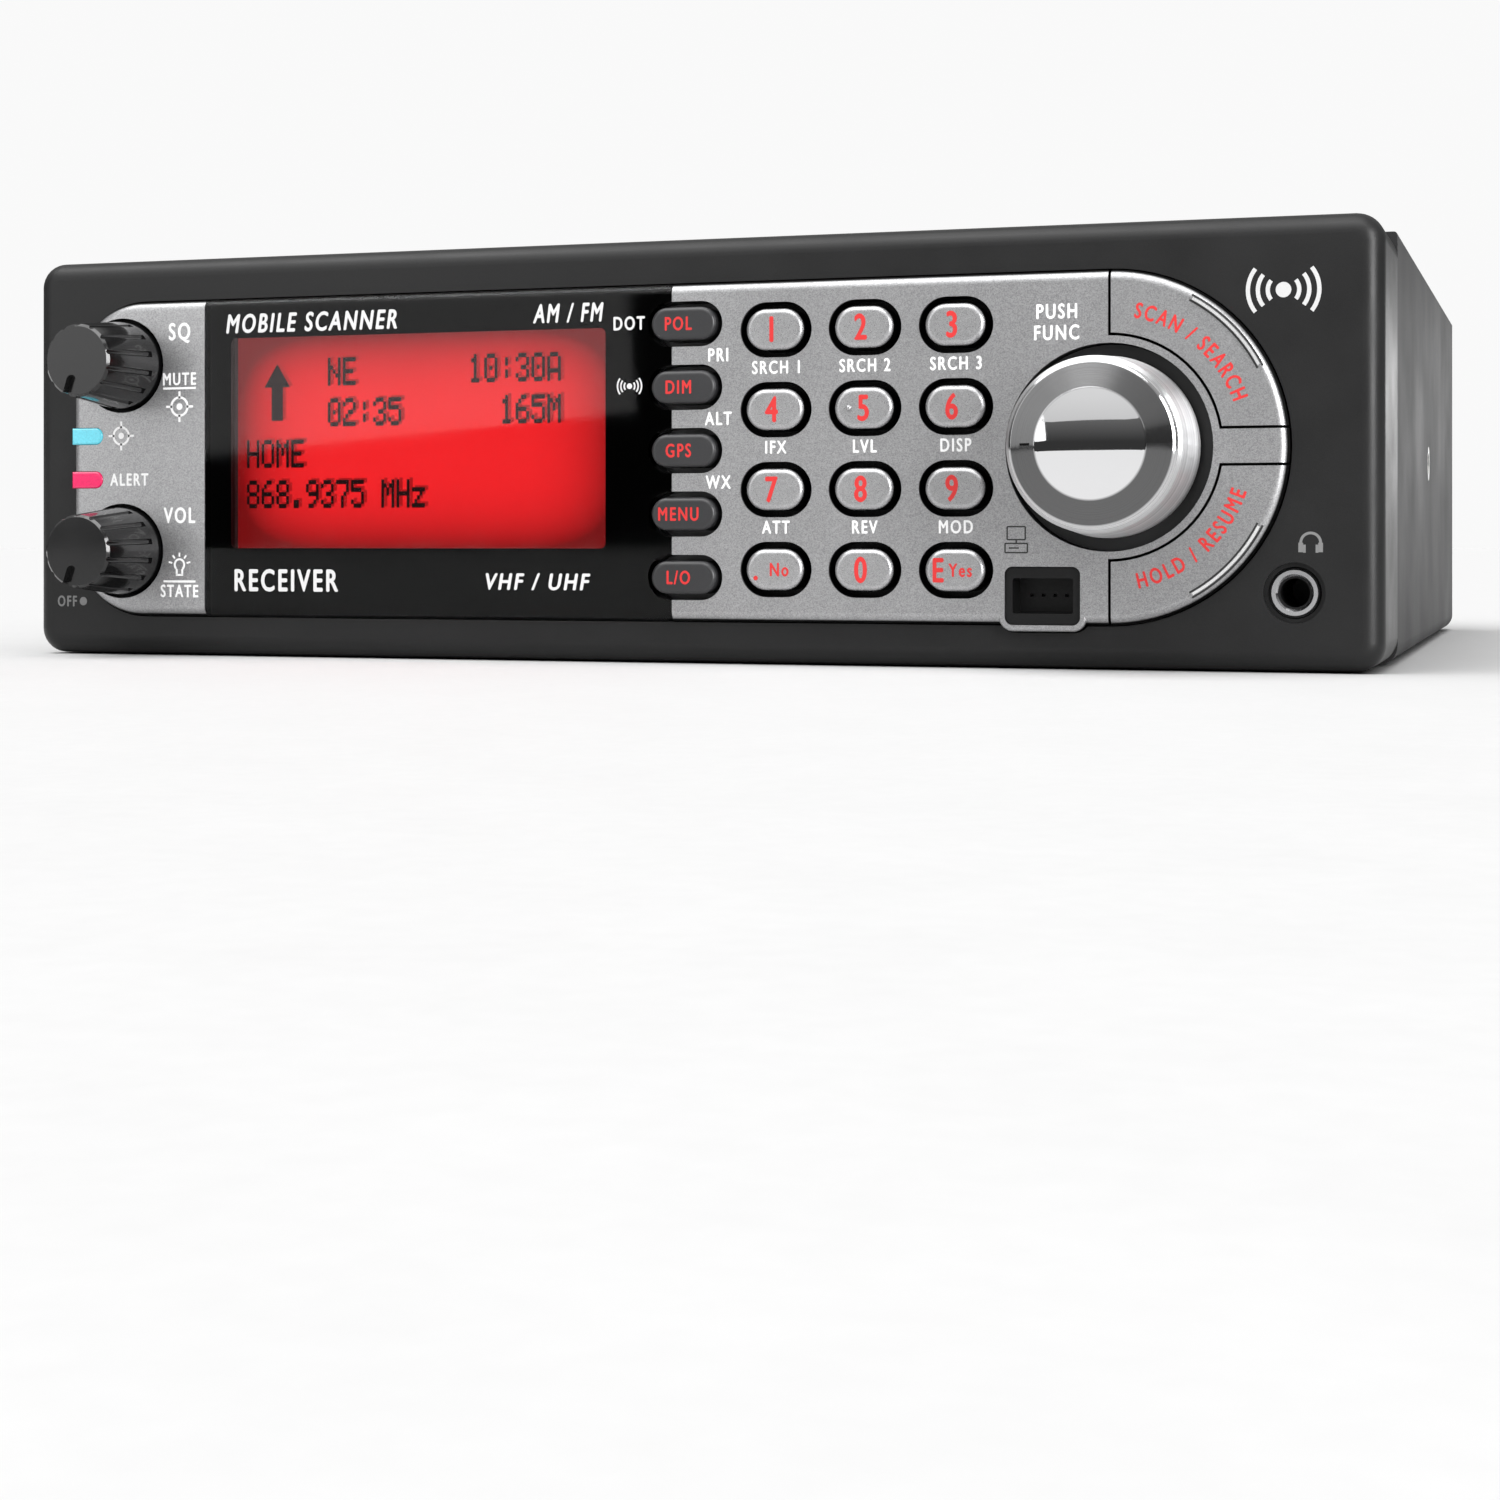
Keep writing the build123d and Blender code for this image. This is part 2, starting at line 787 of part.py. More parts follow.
def knob_pointer_cutter(x, z):
    """Notch at the rim of the knob's face."""
    start = knob_cap_radius - knob_pointer_length
    notch = Pos(start + knob_pointer_length, 0) * Rectangle(2 * knob_pointer_length, knob_pointer_width)
    notch = notch + Pos(start, 0) * Circle(knob_pointer_width / 2)
    notch = Pos(x, z) * (Rot(0, 0, knob_pointer_angle) * notch)
    return slab(notch, knob_front_depth - past, knob_front_depth + knob_pointer_depth)


def make_function_knob():
    """Dial with a flanged skirt, a grooved rim and a slightly domed centre disc."""
    groove = dial_groove
    knob = turned(dial_x, dial_z, [
        (dial_shaft_radius, dial_rear_depth),
        (dial_flange_radius, dial_rear_depth),
        (dial_flange_radius, dial_rear_depth - 1.6),
        (dial_flank_radius, dial_rim_depth + 1.7),
        (dial_flank_radius - groove, dial_rim_depth + 1.3),
        (dial_rim_radius - groove, dial_rim_depth + 1.1),
        (dial_rim_radius - groove, dial_rim_depth + 0.7),
        (dial_rim_radius, dial_rim_depth + 0.45),
        (dial_rim_radius, dial_rim_depth + 0.15),
        (dial_rim_radius - 0.25, dial_rim_depth),
        (dial_face_radius, dial_face_depth),
        (0, dial_face_depth),
        (0, knob_bore_end),
        (dial_shaft_radius, knob_bore_end),
    ])
    mark_length = dial_rim_radius - dial_face_radius - 2 * dial_mark_inset
    mark_x = dial_x - (dial_rim_radius + dial_face_radius) / 2
    mark = Box(mark_length, 2 * dial_mark_depth, dial_mark_width)
    knob = knob - Pos(mark_x, at(dial_face_depth), dial_z) * mark
    rise = dial_dome_radius - math.sqrt(dial_dome_radius ** 2 - dial_face_radius ** 2)
    top = dial_face_depth - rise
    ball = Pos(dial_x, at(top + dial_dome_radius), dial_z) * Sphere(dial_dome_radius)
    return knob + (ball & rod(dial_x, dial_z, dial_face_radius, top - past, dial_face_depth))


def make_encoder_surround():
    """Black dish that closes the panel around the dial's shaft."""
    inner = dial_bushing_radius + surround_bore_gap
    dish = dial_recess_radius - surround_gap
    flange = dial_ring_radius - surround_flange_gap
    return turned(dial_x, dial_z, [
        (inner, surround_front),
        (dish, surround_front),
        (dish, panel_rear),
        (flange, panel_rear),
        (flange, panel_rear + surround_front),
        (inner, panel_rear + surround_front),
    ])


# ---- controls on the front board ----

def make_control(x, z, size, bushing_radius, shaft_radius):
    """Body and bushing of a rotary control with a push switch, open for its shaft."""
    half = size / 2
    body = box(x - half, x + half, board_rear, control_rear, z - half, z + half)
    body = body + rod(x, z, bushing_radius, bushing_front_depth, board_rear)
    bore_radius = shaft_radius + running_clearance
    body = body - rod(x, z, bore_radius, bushing_front_depth - past, control_cavity_front)
    return body - rod(x, z, half - control_wall, control_cavity_front, control_cavity_rear)


def make_shaft(x, z, radius, size, front_depth):
    """Shaft with a collar that keeps it inside its control."""
    collar_radius = size / 2 - control_wall - collar_gap
    collar_front = control_cavity_front + running_clearance
    shaft = rod(x, z, radius, front_depth, shaft_end_depth)
    return shaft + rod(x, z, collar_radius, collar_front, collar_front + collar_thickness)


def make_actuator(x, z, size):
    """Disc behind a shaft's end that works the push switch."""
    radius = size / 2 - control_wall - actuator_gap
    return rod(x, z, radius, actuator_front, actuator_front + actuator_thickness)


def make_control_pots():
    """The two identical potentiometer bodies behind the small knobs."""
    pots = []
    for name, x, z in knob_places():
        pots.append(make_control(x, z, pot_body_size, knob_bushing_radius, knob_shaft_radius))
    return pots


def make_keypad_membrane():
    """Silicone sheet behind the keys, with a contact pill for each of them."""
    left = (function_x + view_right) / 2
    outline = panel_outline(-panel_ledge - membrane_gap) & (
        Pos((left + half_width) / 2, dial_z) * Rectangle(half_width - left, body_height)
    )
    outline = outline - Pos(dial_x, dial_z) * Circle(dial_bushing_radius + 2 * membrane_gap)
    outline = outline - jack_outline(membrane_gap)
    membrane = slab(outline, membrane_front, membrane_rear)
    spots = [(x, z) for name, x, z in number_key_places() + function_key_places()]
    middle = (dial_ring_radius + window_radius) / 2
    for side in (1, -1):
        turn = math.radians(45 * side)
        spots.append((dial_x + middle * math.cos(turn), dial_z + middle * math.sin(turn)))
    for x, z in spots:
        membrane = membrane + rod(x, z, pill_radius, membrane_rear, membrane_rear + pill_length)
    return membrane


def make_front_board():
    """Circuit board that carries the keypad contacts, the display and the controls."""
    inset = bezel_wall + board_edge_gap
    outline = Pos(0, middle_z) * Rectangle(body_width - 2 * inset, body_height - 2 * inset)
    holes = []
    for x, z in bezel_boss_places():
        holes.append((x, z, boss_radius + board_edge_gap))
    for x, z in front_post_places():
        holes.append((x, z, screw_hole_radius))
    for name, x, z in knob_places():
        holes.append((x, z, knob_bushing_radius + board_hole_gap))
    holes.append((dial_x, dial_z, dial_bushing_radius + board_hole_gap))
    for x, z, radius in holes:
        outline = outline - Pos(x, z) * Circle(radius)
    jack_hole = audio_body_size + 2 * audio_body_gap
    outline = outline - Pos(audio_x, audio_height) * Rectangle(jack_hole, jack_hole)
    board = slab(outline, board_depth, board_rear)
    lamp_x = panel_left + panel_ledge + panel_gap + pipe_leg_length / 2
    for name, z in pipe_places():
        lamp = Pos(lamp_x, z) * Rectangle(lamp_width, lamp_height)
        board = board + slab(lamp, board_depth - lamp_thickness, board_depth)
    return board


# ---- light pipes ----

def pipe_outline(z, grow=0.0):
    """Window of a light pipe: square at the panel's edge and round at the other end."""
    radius = pipe_height / 2 + grow
    left = panel_left - grow
    right = panel_left + pipe_length + grow
    block = Pos((left + right - radius) / 2, z) * Rectangle(right - radius - left, 2 * radius)
    return block + Pos(right - radius, z) * Circle(radius)


def make_light_pipe(z):
    """Moulded light pipe with a leg that reaches back to its lamp."""
    window = slab(pipe_outline(z), -panel_rise - pipe_proud, panel_rear)
    window = fillet(window.edges().group_by(Axis.Y)[0], pipe_edge_radius)
    leg_left = panel_left + panel_ledge + panel_gap
    leg_outline = pipe_outline(z) & (
        Pos(leg_left + pipe_leg_length / 2, z) * Rectangle(pipe_leg_length, 2 * pipe_height)
    )
    return window + slab(leg_outline, 0, board_depth - pipe_board_gap)


# ---- jacks ----

def audio_jack(x, z, mouth_depth, direction, wall_behind):
    """3.5 mm jack with a threaded nose.  direction is 1 if the jack runs to the rear."""
    end = mouth_depth + direction * (audio_bore_length + audio_body_wall)
    near, far = sorted((mouth_depth, wall_behind))
    nose = rod(x, z, audio_nose_radius, near, far)
    near, far = sorted((wall_behind, end))
    half = audio_body_size / 2
    body = box(x - half, x + half, near, far, z - half, z + half)
    bore_start = mouth_depth - direction * past
    near, far = sorted((bore_start, mouth_depth + direction * audio_bore_length))
    return nose + body - rod(x, z, audio_bore_radius, near, far)


def jack_nut(x, z, front_depth, direction):
    """Round cap nut around a jack's nose."""
    inner = audio_nose_radius + running_clearance
    points = [
        (audio_nut_mouth_radius + audio_nut_bevel, 0),
        (audio_nut_radius - audio_nut_chamfer, 0),
        (audio_nut_radius, audio_nut_chamfer),
        (audio_nut_radius, audio_nut_length),
        (inner, audio_nut_length),
        (inner, audio_nut_lip),
        (audio_nut_mouth_radius, audio_nut_lip),
        (audio_nut_mouth_radius, audio_nut_bevel),
    ]
    return turned(x, z, [(radius, front_depth + direction * run) for radius, run in points])


def make_headphone_jack():
    """Headphone jack behind the bezel."""
    return audio_jack(audio_x, audio_height, jack_mouth_depth, 1, bezel_front_wall)


def make_ext_speaker_jack():
    """External loudspeaker jack behind the rear panel."""
    wall_behind = body_depth - rear_panel_thickness
    return audio_jack(speaker_jack_x, rear_jack_z, rear_mouth_depth, -1, wall_behind)


def make_jack_nuts():
    """The two identical nuts of the audio jacks."""
    front = jack_nut(audio_x, audio_height, nut_front_depth, 1)
    rear = jack_nut(speaker_jack_x, rear_jack_z, rear_nut_depth, -1)
    return [front, rear]


def make_front_data_jack():
    """Data socket with a black liner that reaches forward through the panel."""
    block = slab(jack_outline(-jack_liner_gap), jack_liner_front, board_depth)
    well_width = jack_opening_width - 2 * jack_liner_side
    well_height = jack_opening_height - 2 * jack_liner_end
    well = Pos(jack_x, jack_z) * RectangleRounded(well_width, well_height, jack_well_radius)
    block = block - slab(well, jack_liner_front - past, jack_floor_depth)
    contact = Rectangle(jack_contact_width, jack_contact_height)
    for index in range(jack_contacts):
        x = jack_x + (index - (jack_contacts - 1) / 2) * jack_contact_pitch
        slot = Pos(x, jack_z) * contact
        block = block - slab(slot, jack_floor_depth - past, jack_floor_depth + past)
    return block


# ---- case ----

def make_chassis_tub():
    """Folded steel tub: bottom, two sides and the flanges that everything is screwed to."""
    outline = Pos(0, cover_z / 2) * Rectangle(body_width, cover_z)
    outline = fillet(outline.vertices().sort_by(Axis.Y)[:2], case_bottom_radius)
    tub = slab(outline, bezel_depth, body_depth)
    inner = Pos(0, (sheet + cover_z) / 2) * Rectangle(2 * case_inner_x, cover_z - sheet)
    inner = fillet(inner.vertices().sort_by(Axis.Y)[:2], case_bottom_radius - sheet)
    rear_flange_front = body_depth - rear_panel_thickness - sheet
    room = slab(inner, bezel_depth + sheet, rear_flange_front)
    room = room & box(-case_inner_x, case_inner_x, 0, body_depth, 0, cover_z - sheet)
    aperture_x = case_inner_x - case_flange
    relief_end = bezel_depth + sheet + screw_head_height + past
    cutters = [
        room,
        box(-case_inner_x, case_inner_x, bezel_depth + sheet, relief_end, middle_z, body_height),
        slab(inner, body_depth - rear_panel_thickness, body_depth + past),
        box(-aperture_x, aperture_x, 0, body_depth + past, sheet, body_height),
    ]
    for x in (-case_screw_x, case_screw_x):
        for depth in cover_screw_depths():
            cutters.append(post(x, depth, screw_thread_radius, cover_z - tub_screw_depth, cover_z + past))
        for z in rear_screw_heights():
            cutters.append(rod(x, z, screw_thread_radius, rear_flange_front - past, body_depth))
    for x, z in bezel_boss_places():
        cutters.append(rod(x, z, screw_hole_radius, bezel_depth - past, bezel_depth + sheet + past))
    for side in (-1, 1):
        ends = (side * (half_width + past), side * (case_inner_x - past))
        cutters.append(side_rod(ends, bracket_insert_radius))
    tub = cut_all(tub, cutters)
    for x, depth in standoff_places():
        tub = tub + post(x, depth, standoff_radius, sheet / 2, main_board_z)
    for x, depth in standoff_places():
        tub = tub - post(x, depth, screw_thread_radius, sheet + past, main_board_z + past)
    return tub


def cover_screw_depths():
    """Depths of the screws that hold the top cover."""
    return (bezel_depth + cover_screw_end, body_depth - cover_screw_end)


def rear_screw_heights():
    """Heights of the screws that hold the rear panel."""
    return (rear_screw_height, body_height - rear_screw_height)


def standoff_places():
    """X and depth of the main board's standoffs."""
    xs = (-main_board_half + standoff_inset, main_board_half - standoff_inset)
    depths = (main_board_front + standoff_inset, main_board_rear - standoff_inset)
    return [(x, depth) for x in xs for depth in depths]


def speaker_screw_places():
    """X and depth of the loudspeaker's screws."""
    half = speaker_screw_spacing / 2
    return [(x, speaker_depth + step) for x in (-half, half) for step in (-half, half)]


def make_top_cover():
    """Lid with a slotted grille over the loudspeaker."""
    lid = box(-half_width, half_width, bezel_depth, body_depth, cover_z, body_height)
    lid = fillet(lid.faces().sort_by(Axis.Z)[-1].edges().filter_by(Axis.Y), case_top_radius)
    cutters = []
    count = int(grille_radius / grille_slot_pitch)
    for index in range(-count, count + 1):
        step = index * grille_slot_pitch
        chord = 2 * math.sqrt(grille_radius ** 2 - step ** 2)
        slot = Pos(0, speaker_y + step) * SlotOverall(chord, grille_slot_width)
        cutters.append(extrude(Plane.XY.offset(cover_z - past) * slot, sheet + 2 * past))
    for x in (-case_screw_x, case_screw_x):
        for depth in cover_screw_depths():
            cutters.append(post(x, depth, screw_hole_radius, cover_z - past, body_height + past))
    for x, depth in speaker_screw_places():
        cutters.append(post(x, depth, screw_hole_radius, cover_z - past, body_height + past))
    return cut_all(lid, cutters)


def make_rear_panel():
    """Steel back plate with the connector openings and cooling slots."""
    width = 2 * (case_inner_x - case_fit_gap)
    low = sheet + case_fit_gap
    high = cover_z - case_fit_gap
    outline = Pos(0, (low + high) / 2) * Rectangle(width, high - low)
    outline = fillet(outline.vertices().sort_by(Axis.Y)[:2], case_bottom_radius - sheet)
    near = body_depth - rear_panel_thickness
    plate = slab(outline, near, body_depth)
    openings = [
        Pos(antenna_x, antenna_z) * Circle(antenna_tail_radius + rear_hole_gap),
        Pos(speaker_jack_x, rear_jack_z) * Circle(audio_nose_radius + rear_hole_gap),
        Pos(power_jack_x, rear_jack_z) * Circle(power_body_radius + rear_hole_gap),
        serial_outline(serial_gap),
    ]
    for x in (-serial_screw_spacing / 2, serial_screw_spacing / 2):
        openings.append(Pos(serial_x + x, serial_z) * Circle(serial_post_hole_radius + serial_gap))
    for x in (-case_screw_x, case_screw_x):
        for z in rear_screw_heights():
            openings.append(Pos(x, z) * Circle(screw_hole_radius))
    for index in range(vent_slots):
        x = serial_x + (index - (vent_slots - 1) / 2) * vent_slot_pitch
        z = high - vent_top_gap - vent_slot_height / 2
        openings.append(Pos(x, z) * (Rot(0, 0, 90) * SlotOverall(vent_slot_height, vent_slot_width)))
    for opening in openings:
        plate = plate - slab(opening, near - past, body_depth + past)
    return plate


def make_bracket_inserts():
    """Threaded inserts in the two sides, for a mounting bracket's screws."""
    inserts = []
    for side in (-1, 1):
        inner = side * (case_inner_x - bracket_insert_flange)
        spigot = (side * half_width, side * case_inner_x)
        flange = (side * case_inner_x, inner)
        bore = (side * (half_width + past), inner - side * past)
        insert = side_rod(spigot, bracket_insert_radius) + side_rod(flange, bracket_insert_flange_radius)
        inserts.append(insert - side_rod(bore, bracket_hole_radius))
    return inserts


def side_rod(ends, radius):
    """Cylinder along X on a bracket hole's axis."""
    middle = Pos((ends[0] + ends[1]) / 2, at(bracket_hole_depth), bracket_hole_height)
    return middle * (Rot(0, 90, 0) * Cylinder(radius, abs(ends[1] - ends[0])))


# ---- screws ----

def screw_blank():
    """Pan head screw along Z, with its head's underside at the origin."""
    head = Pos(0, 0, screw_head_height / 2) * Cylinder(screw_head_radius, screw_head_height)
    head = fillet(head.edges().group_by(Axis.Z)[-1], screw_head_edge)
    shank = Pos(0, 0, -screw_length / 2) * Cylinder(screw_radius, screw_length)
    cross = Box(screw_slot_length, screw_slot_width, 2 * screw_slot_depth)
    cross = Pos(0, 0, screw_head_height) * cross
    return head + shank - cross - (Rot(0, 0, 90) * cross)


def make_m3_screws():
    """Every M3 screw in the radio."""
    blank = screw_blank()
    to_rear = Rot(-90, 0, 0) * blank
    places = []
    for x in (-case_screw_x, case_screw_x):
        for depth in cover_screw_depths():
            places.append(Pos(x, at(depth), body_height) * blank)
        for z in rear_screw_heights():
            places.append(Pos(x, at(body_depth), z) * to_rear)
    for x, depth in speaker_screw_places():
        places.append(Pos(x, at(depth), body_height) * blank)
    for x, z in bezel_boss_places():
        places.append(Pos(x, at(bezel_depth + sheet), z) * to_rear)
    for x, z in front_post_places():
        places.append(Pos(x, at(board_rear), z) * to_rear)
    for x, depth in standoff_places():
        places.append(Pos(x, at(depth), main_board_z + board_thickness) * blank)
    return places


# ---- inside ----

def make_main_board():
    """Main circuit board on the tub's standoffs."""
    top = main_board_z + board_thickness
    board = box(-main_board_half, main_board_half, main_board_front, main_board_rear, main_board_z, top)
    for x, depth in standoff_places():
        board = board - post(x, depth, screw_hole_radius, main_board_z - past, top + past)
    return board


def make_tuner_shield():
    """Tinplate can over the receiver circuits."""
    z = main_board_z + board_thickness
    right = main_board_half - shield_right_gap
    left = right - shield_width
    near = main_board_front + shield_front_gap
    far = near + shield_length
    wall = shield_wall
    can = box(left, right, near, far, z, z + shield_height)
    return can - box(left + wall, right - wall, near + wall, far - wall, z - past, z + shield_height - wall)


def make_board_components():
    """Processor chips and capacitors on the main board."""
    z = main_board_z + board_thickness
    parts = []
    near = main_board_front + chip_front_gap
    for index in range(chip_count):
        x = -main_board_half + chip_left_gap + index * 2 * chip_size
        parts.append(box(x, x + chip_size, near, near + chip_size, z, z + chip_height))
    depth = main_board_rear - capacitor_rear_gap
    for index in range(capacitor_count):
        x = -main_board_half + capacitor_left_gap + index * capacitor_pitch
        parts.append(post(x, depth, capacitor_radius, z, z + capacitor_height))
    return parts


def make_speaker_frame():
    """Loudspeaker basket with its mounting flange and magnet."""
    top = cover_z
    low = top - speaker_basket_height
    under = top - speaker_flange
    wall = speaker_basket_wall
    flange = Pos(0, speaker_y) * RectangleRounded(speaker_size, speaker_size, speaker_corner_radius)
    frame = extrude(Plane.XY.offset(under) * flange, speaker_flange)
    frame = frame - post(0, speaker_depth, speaker_basket_radius - wall, under - past, top + past)
    for x, depth in speaker_screw_places():
        frame = frame - post(x, depth, screw_thread_radius, under - past, top + past)
    basket = spun(0, speaker_depth, [
        (0, low),
        (speaker_basket_floor_radius + wall, low),
        (speaker_basket_radius, under),
        (speaker_basket_radius - wall, under),
        (speaker_basket_floor_radius, low + wall),
        (0, low + wall),
    ])
    magnet = post(0, speaker_depth, speaker_magnet_radius, low - speaker_magnet_height, low)
    return frame + basket + magnet


def make_speaker_cone():
    """Paper cone inside the basket."""
    top = cover_z - cone_cover_gap
    rim = speaker_basket_radius - speaker_basket_wall - cone_gap
    neck = cone_neck_radius
    low = top - cone_height
    return spun(0, speaker_depth, [
        (0, low),
        (neck, low),
        (rim - cone_rim, top - cone_thickness),
        (rim, top - cone_thickness),
        (rim, top),
        (rim - cone_rim - cone_slope_step, top),
        (neck - cone_slope_step, low + cone_thickness),
        (0, low + cone_thickness + cone_cap_rise),
    ])


# ---- rear connectors ----

def make_antenna_jack():
    """Bayonet antenna socket with two locking lugs."""
    end = body_depth + antenna_barrel_length
    floor = end - antenna_bore_depth
    jack = turned(antenna_x, antenna_z, [
        (0, body_depth - antenna_tail_length),
        (antenna_tail_radius, body_depth - antenna_tail_length),
        (antenna_tail_radius, body_depth),
        (antenna_flange_radius, body_depth),
        (antenna_flange_radius, body_depth + antenna_flange_thickness),
        (antenna_barrel_radius, body_depth + antenna_flange_thickness),
        (antenna_barrel_radius, end - antenna_bevel),
        (antenna_barrel_radius - antenna_bevel, end),
        (antenna_bore_radius, end),
        (antenna_bore_radius, floor),
        (antenna_contact_radius, floor),
        (antenna_contact_radius, end - antenna_contact_recess),
        (antenna_contact_bore, end - antenna_contact_recess),
        (antenna_contact_bore, end - antenna_contact_bore_depth),
        (0, end - antenna_contact_bore_depth),
    ])
    lug_root = antenna_barrel_radius - antenna_lug_sink
    lug = Cylinder(antenna_lug_radius, antenna_lug_reach - lug_root)
    for side in (-1, 1):
        z = antenna_z + side * (lug_root + antenna_lug_reach) / 2
        jack = jack + Pos(antenna_x, at(end - antenna_lug_from_end), z) * lug
    return jack


def make_dc_power_jack():
    """Barrel power socket with a centre pin."""
    end = body_depth + power_ring_thickness
    floor = end - power_bore_depth
    return turned(power_jack_x, rear_jack_z, [
        (0, body_depth - power_body_length),
        (power_body_radius, body_depth - power_body_length),
        (power_body_radius, body_depth),
        (power_ring_radius, body_depth),
        (power_ring_radius, end - power_bevel),
        (power_ring_radius - power_bevel, end),
        (power_bore_radius, end),
        (power_bore_radius, floor),
        (power_pin_radius, floor),
        (power_pin_radius, end - power_pin_recess),
        (0, end - power_pin_recess + power_bevel),
    ])


def serial_outline(grow=0.0):
    """D shape of the serial port's shell."""
    top = serial_shell_top / 2 + grow
    bottom = serial_shell_bottom / 2 + grow
    half = serial_shell_height / 2 + grow
    corners = [(-top, half), (top, half), (bottom, -half), (-bottom, -half)]
    outline = make_face(Polyline(*corners, close=True))
    outline = fillet(outline.vertices(), serial_shell_radius + grow)
    return Pos(serial_x, serial_z) * outline


def make_serial_port():
    """Steel D shell with its flange, and the two threaded posts beside it."""
    flange_end = body_depth + serial_flange_thickness
    flange = RectangleRounded(serial_flange_width, serial_flange_height, serial_flange_radius)
    shell = slab(Pos(serial_x, serial_z) * flange, body_depth, flange_end)
    near = body_depth - serial_body_length
    far = body_depth + serial_shell_length
    shell = shell + slab(serial_outline(), near, far)
    shell = shell - slab(serial_outline(-serial_shell_wall), near - past, far + past)
    posts = []
    for side in (-1, 1):
        x = serial_x + side * serial_screw_spacing / 2
        hole = Pos(x, serial_z) * Circle(serial_post_hole_radius)
        hexagon = Pos(x, serial_z) * RegularPolygon(serial_post_radius, 6)
        shell = shell - slab(offset(hole, serial_gap), body_depth - past, flange_end + past)
        posts.append(slab(hexagon - hole, flange_end, flange_end + serial_post_length))
    return [shell] + posts


def make_serial_insulator():
    """Plastic block with nine contact holes inside the D shell."""
    end = body_depth + serial_shell_length - serial_block_recess
    outline = serial_outline(-serial_shell_wall - serial_block_gap)
    block = slab(outline, body_depth - serial_body_length, end)
    for row, count in ((1, 5), (-1, 4)):
        for index in range(count):
            x = serial_x + (index - (count - 1) / 2) * serial_pin_pitch
            z = serial_z + row * serial_pin_row_pitch / 2
            block = block - rod(x, z, serial_pin_radius, end - serial_pin_depth, end + past)
    return block


# ---- all parts ----

def build_parts():
    """Every node's name with its solid or its group of solids."""
    parts = {
        "front_bezel": make_front_bezel(),
        "control_panel": make_control_panel(),
        "display_lens": make_display_lens(),
        "lens_mask": make_lens_mask(),
        "lcd_frame": make_lcd_frame(),
        "lcd_glass": make_lcd_glass(),
        "backlight_guide": make_backlight_guide(),
        "scan_button": make_arc_button(1),
        "hold_button": make_arc_button(-1),
        "function_knob": make_function_knob(),
        "encoder_surround": make_encoder_surround(),
        "control_pots": make_control_pots(),
        "function_encoder": make_control(
            dial_x, dial_z, encoder_body_size, dial_bushing_radius, dial_shaft_radius
        ),
        "function_shaft": make_shaft(dial_x, dial_z, dial_shaft_radius, encoder_body_size, knob_bore_end),
        "function_actuator": make_actuator(dial_x, dial_z, encoder_body_size),
        "keypad_membrane": make_keypad_membrane(),
        "front_board": make_front_board(),
        "headphone_jack": make_headphone_jack(),
        "ext_speaker_jack": make_ext_speaker_jack(),
        "jack_nuts": make_jack_nuts(),
        "front_data_jack": make_front_data_jack(),
        "chassis_tub": make_chassis_tub(),
        "top_cover": make_top_cover(),
        "rear_panel": make_rear_panel(),
        "bracket_inserts": make_bracket_inserts(),
        "m3_screws": make_m3_screws(),
        "main_board": make_main_board(),
        "tuner_shield": make_tuner_shield(),
        "board_components": make_board_components(),
        "speaker_frame": make_speaker_frame(),
        "speaker_cone": make_speaker_cone(),
        "antenna_jack": make_antenna_jack(),
        "dc_power_jack": make_dc_power_jack(),
        "serial_port": make_serial_port(),
        "serial_insulator": make_serial_insulator(),
    }
    for name, x, z in knob_places():
        parts[name + "_knob"] = make_small_knob(x, z)
        parts[name + "_shaft"] = make_shaft(x, z, knob_shaft_radius, pot_body_size, knob_bore_end)
        parts[name + "_actuator"] = make_actuator(x, z, pot_body_size)
    for name, z in pipe_places():
        parts["light_pipe_" + name] = make_light_pipe(z)
    for name, x, z in number_key_places():
        parts[name] = make_number_key(name, x, z)
    for name, x, z in function_key_places():
        parts[name] = make_function_key(x, z)
    return parts


def main():
    os.makedirs("parts", exist_ok=True)
    for name, shape in build_parts().items():
        if isinstance(shape, list):
            shape = Compound(children=shape)
        export_step(shape, "parts/" + name + ".step")


main()
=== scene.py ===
import bmesh
import bpy
import json
import math
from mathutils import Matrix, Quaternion, Vector

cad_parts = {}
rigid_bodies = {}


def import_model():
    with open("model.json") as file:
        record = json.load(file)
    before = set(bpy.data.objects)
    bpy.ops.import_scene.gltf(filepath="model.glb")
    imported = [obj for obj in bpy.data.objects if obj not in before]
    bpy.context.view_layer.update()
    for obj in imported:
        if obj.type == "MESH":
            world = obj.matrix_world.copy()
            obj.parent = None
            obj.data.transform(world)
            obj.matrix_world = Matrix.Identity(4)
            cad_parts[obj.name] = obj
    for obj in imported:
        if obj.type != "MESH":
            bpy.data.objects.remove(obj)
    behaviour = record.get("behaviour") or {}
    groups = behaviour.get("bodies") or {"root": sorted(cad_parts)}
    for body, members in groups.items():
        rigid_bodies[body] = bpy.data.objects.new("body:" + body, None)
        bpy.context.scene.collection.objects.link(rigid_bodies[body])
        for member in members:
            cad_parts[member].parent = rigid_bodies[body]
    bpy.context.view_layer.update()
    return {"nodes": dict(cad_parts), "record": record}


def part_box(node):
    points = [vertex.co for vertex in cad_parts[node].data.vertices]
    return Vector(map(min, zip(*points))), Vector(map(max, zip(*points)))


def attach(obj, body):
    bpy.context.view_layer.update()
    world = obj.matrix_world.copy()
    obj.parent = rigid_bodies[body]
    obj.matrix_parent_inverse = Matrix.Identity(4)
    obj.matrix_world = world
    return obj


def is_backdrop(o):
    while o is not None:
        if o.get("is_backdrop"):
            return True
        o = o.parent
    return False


# The looks of a police scanner: finishes for every CAD node, printed legends, the display's
# dots, a plain studio and the camera.  Lengths written as N * MM are millimetres.

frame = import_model()

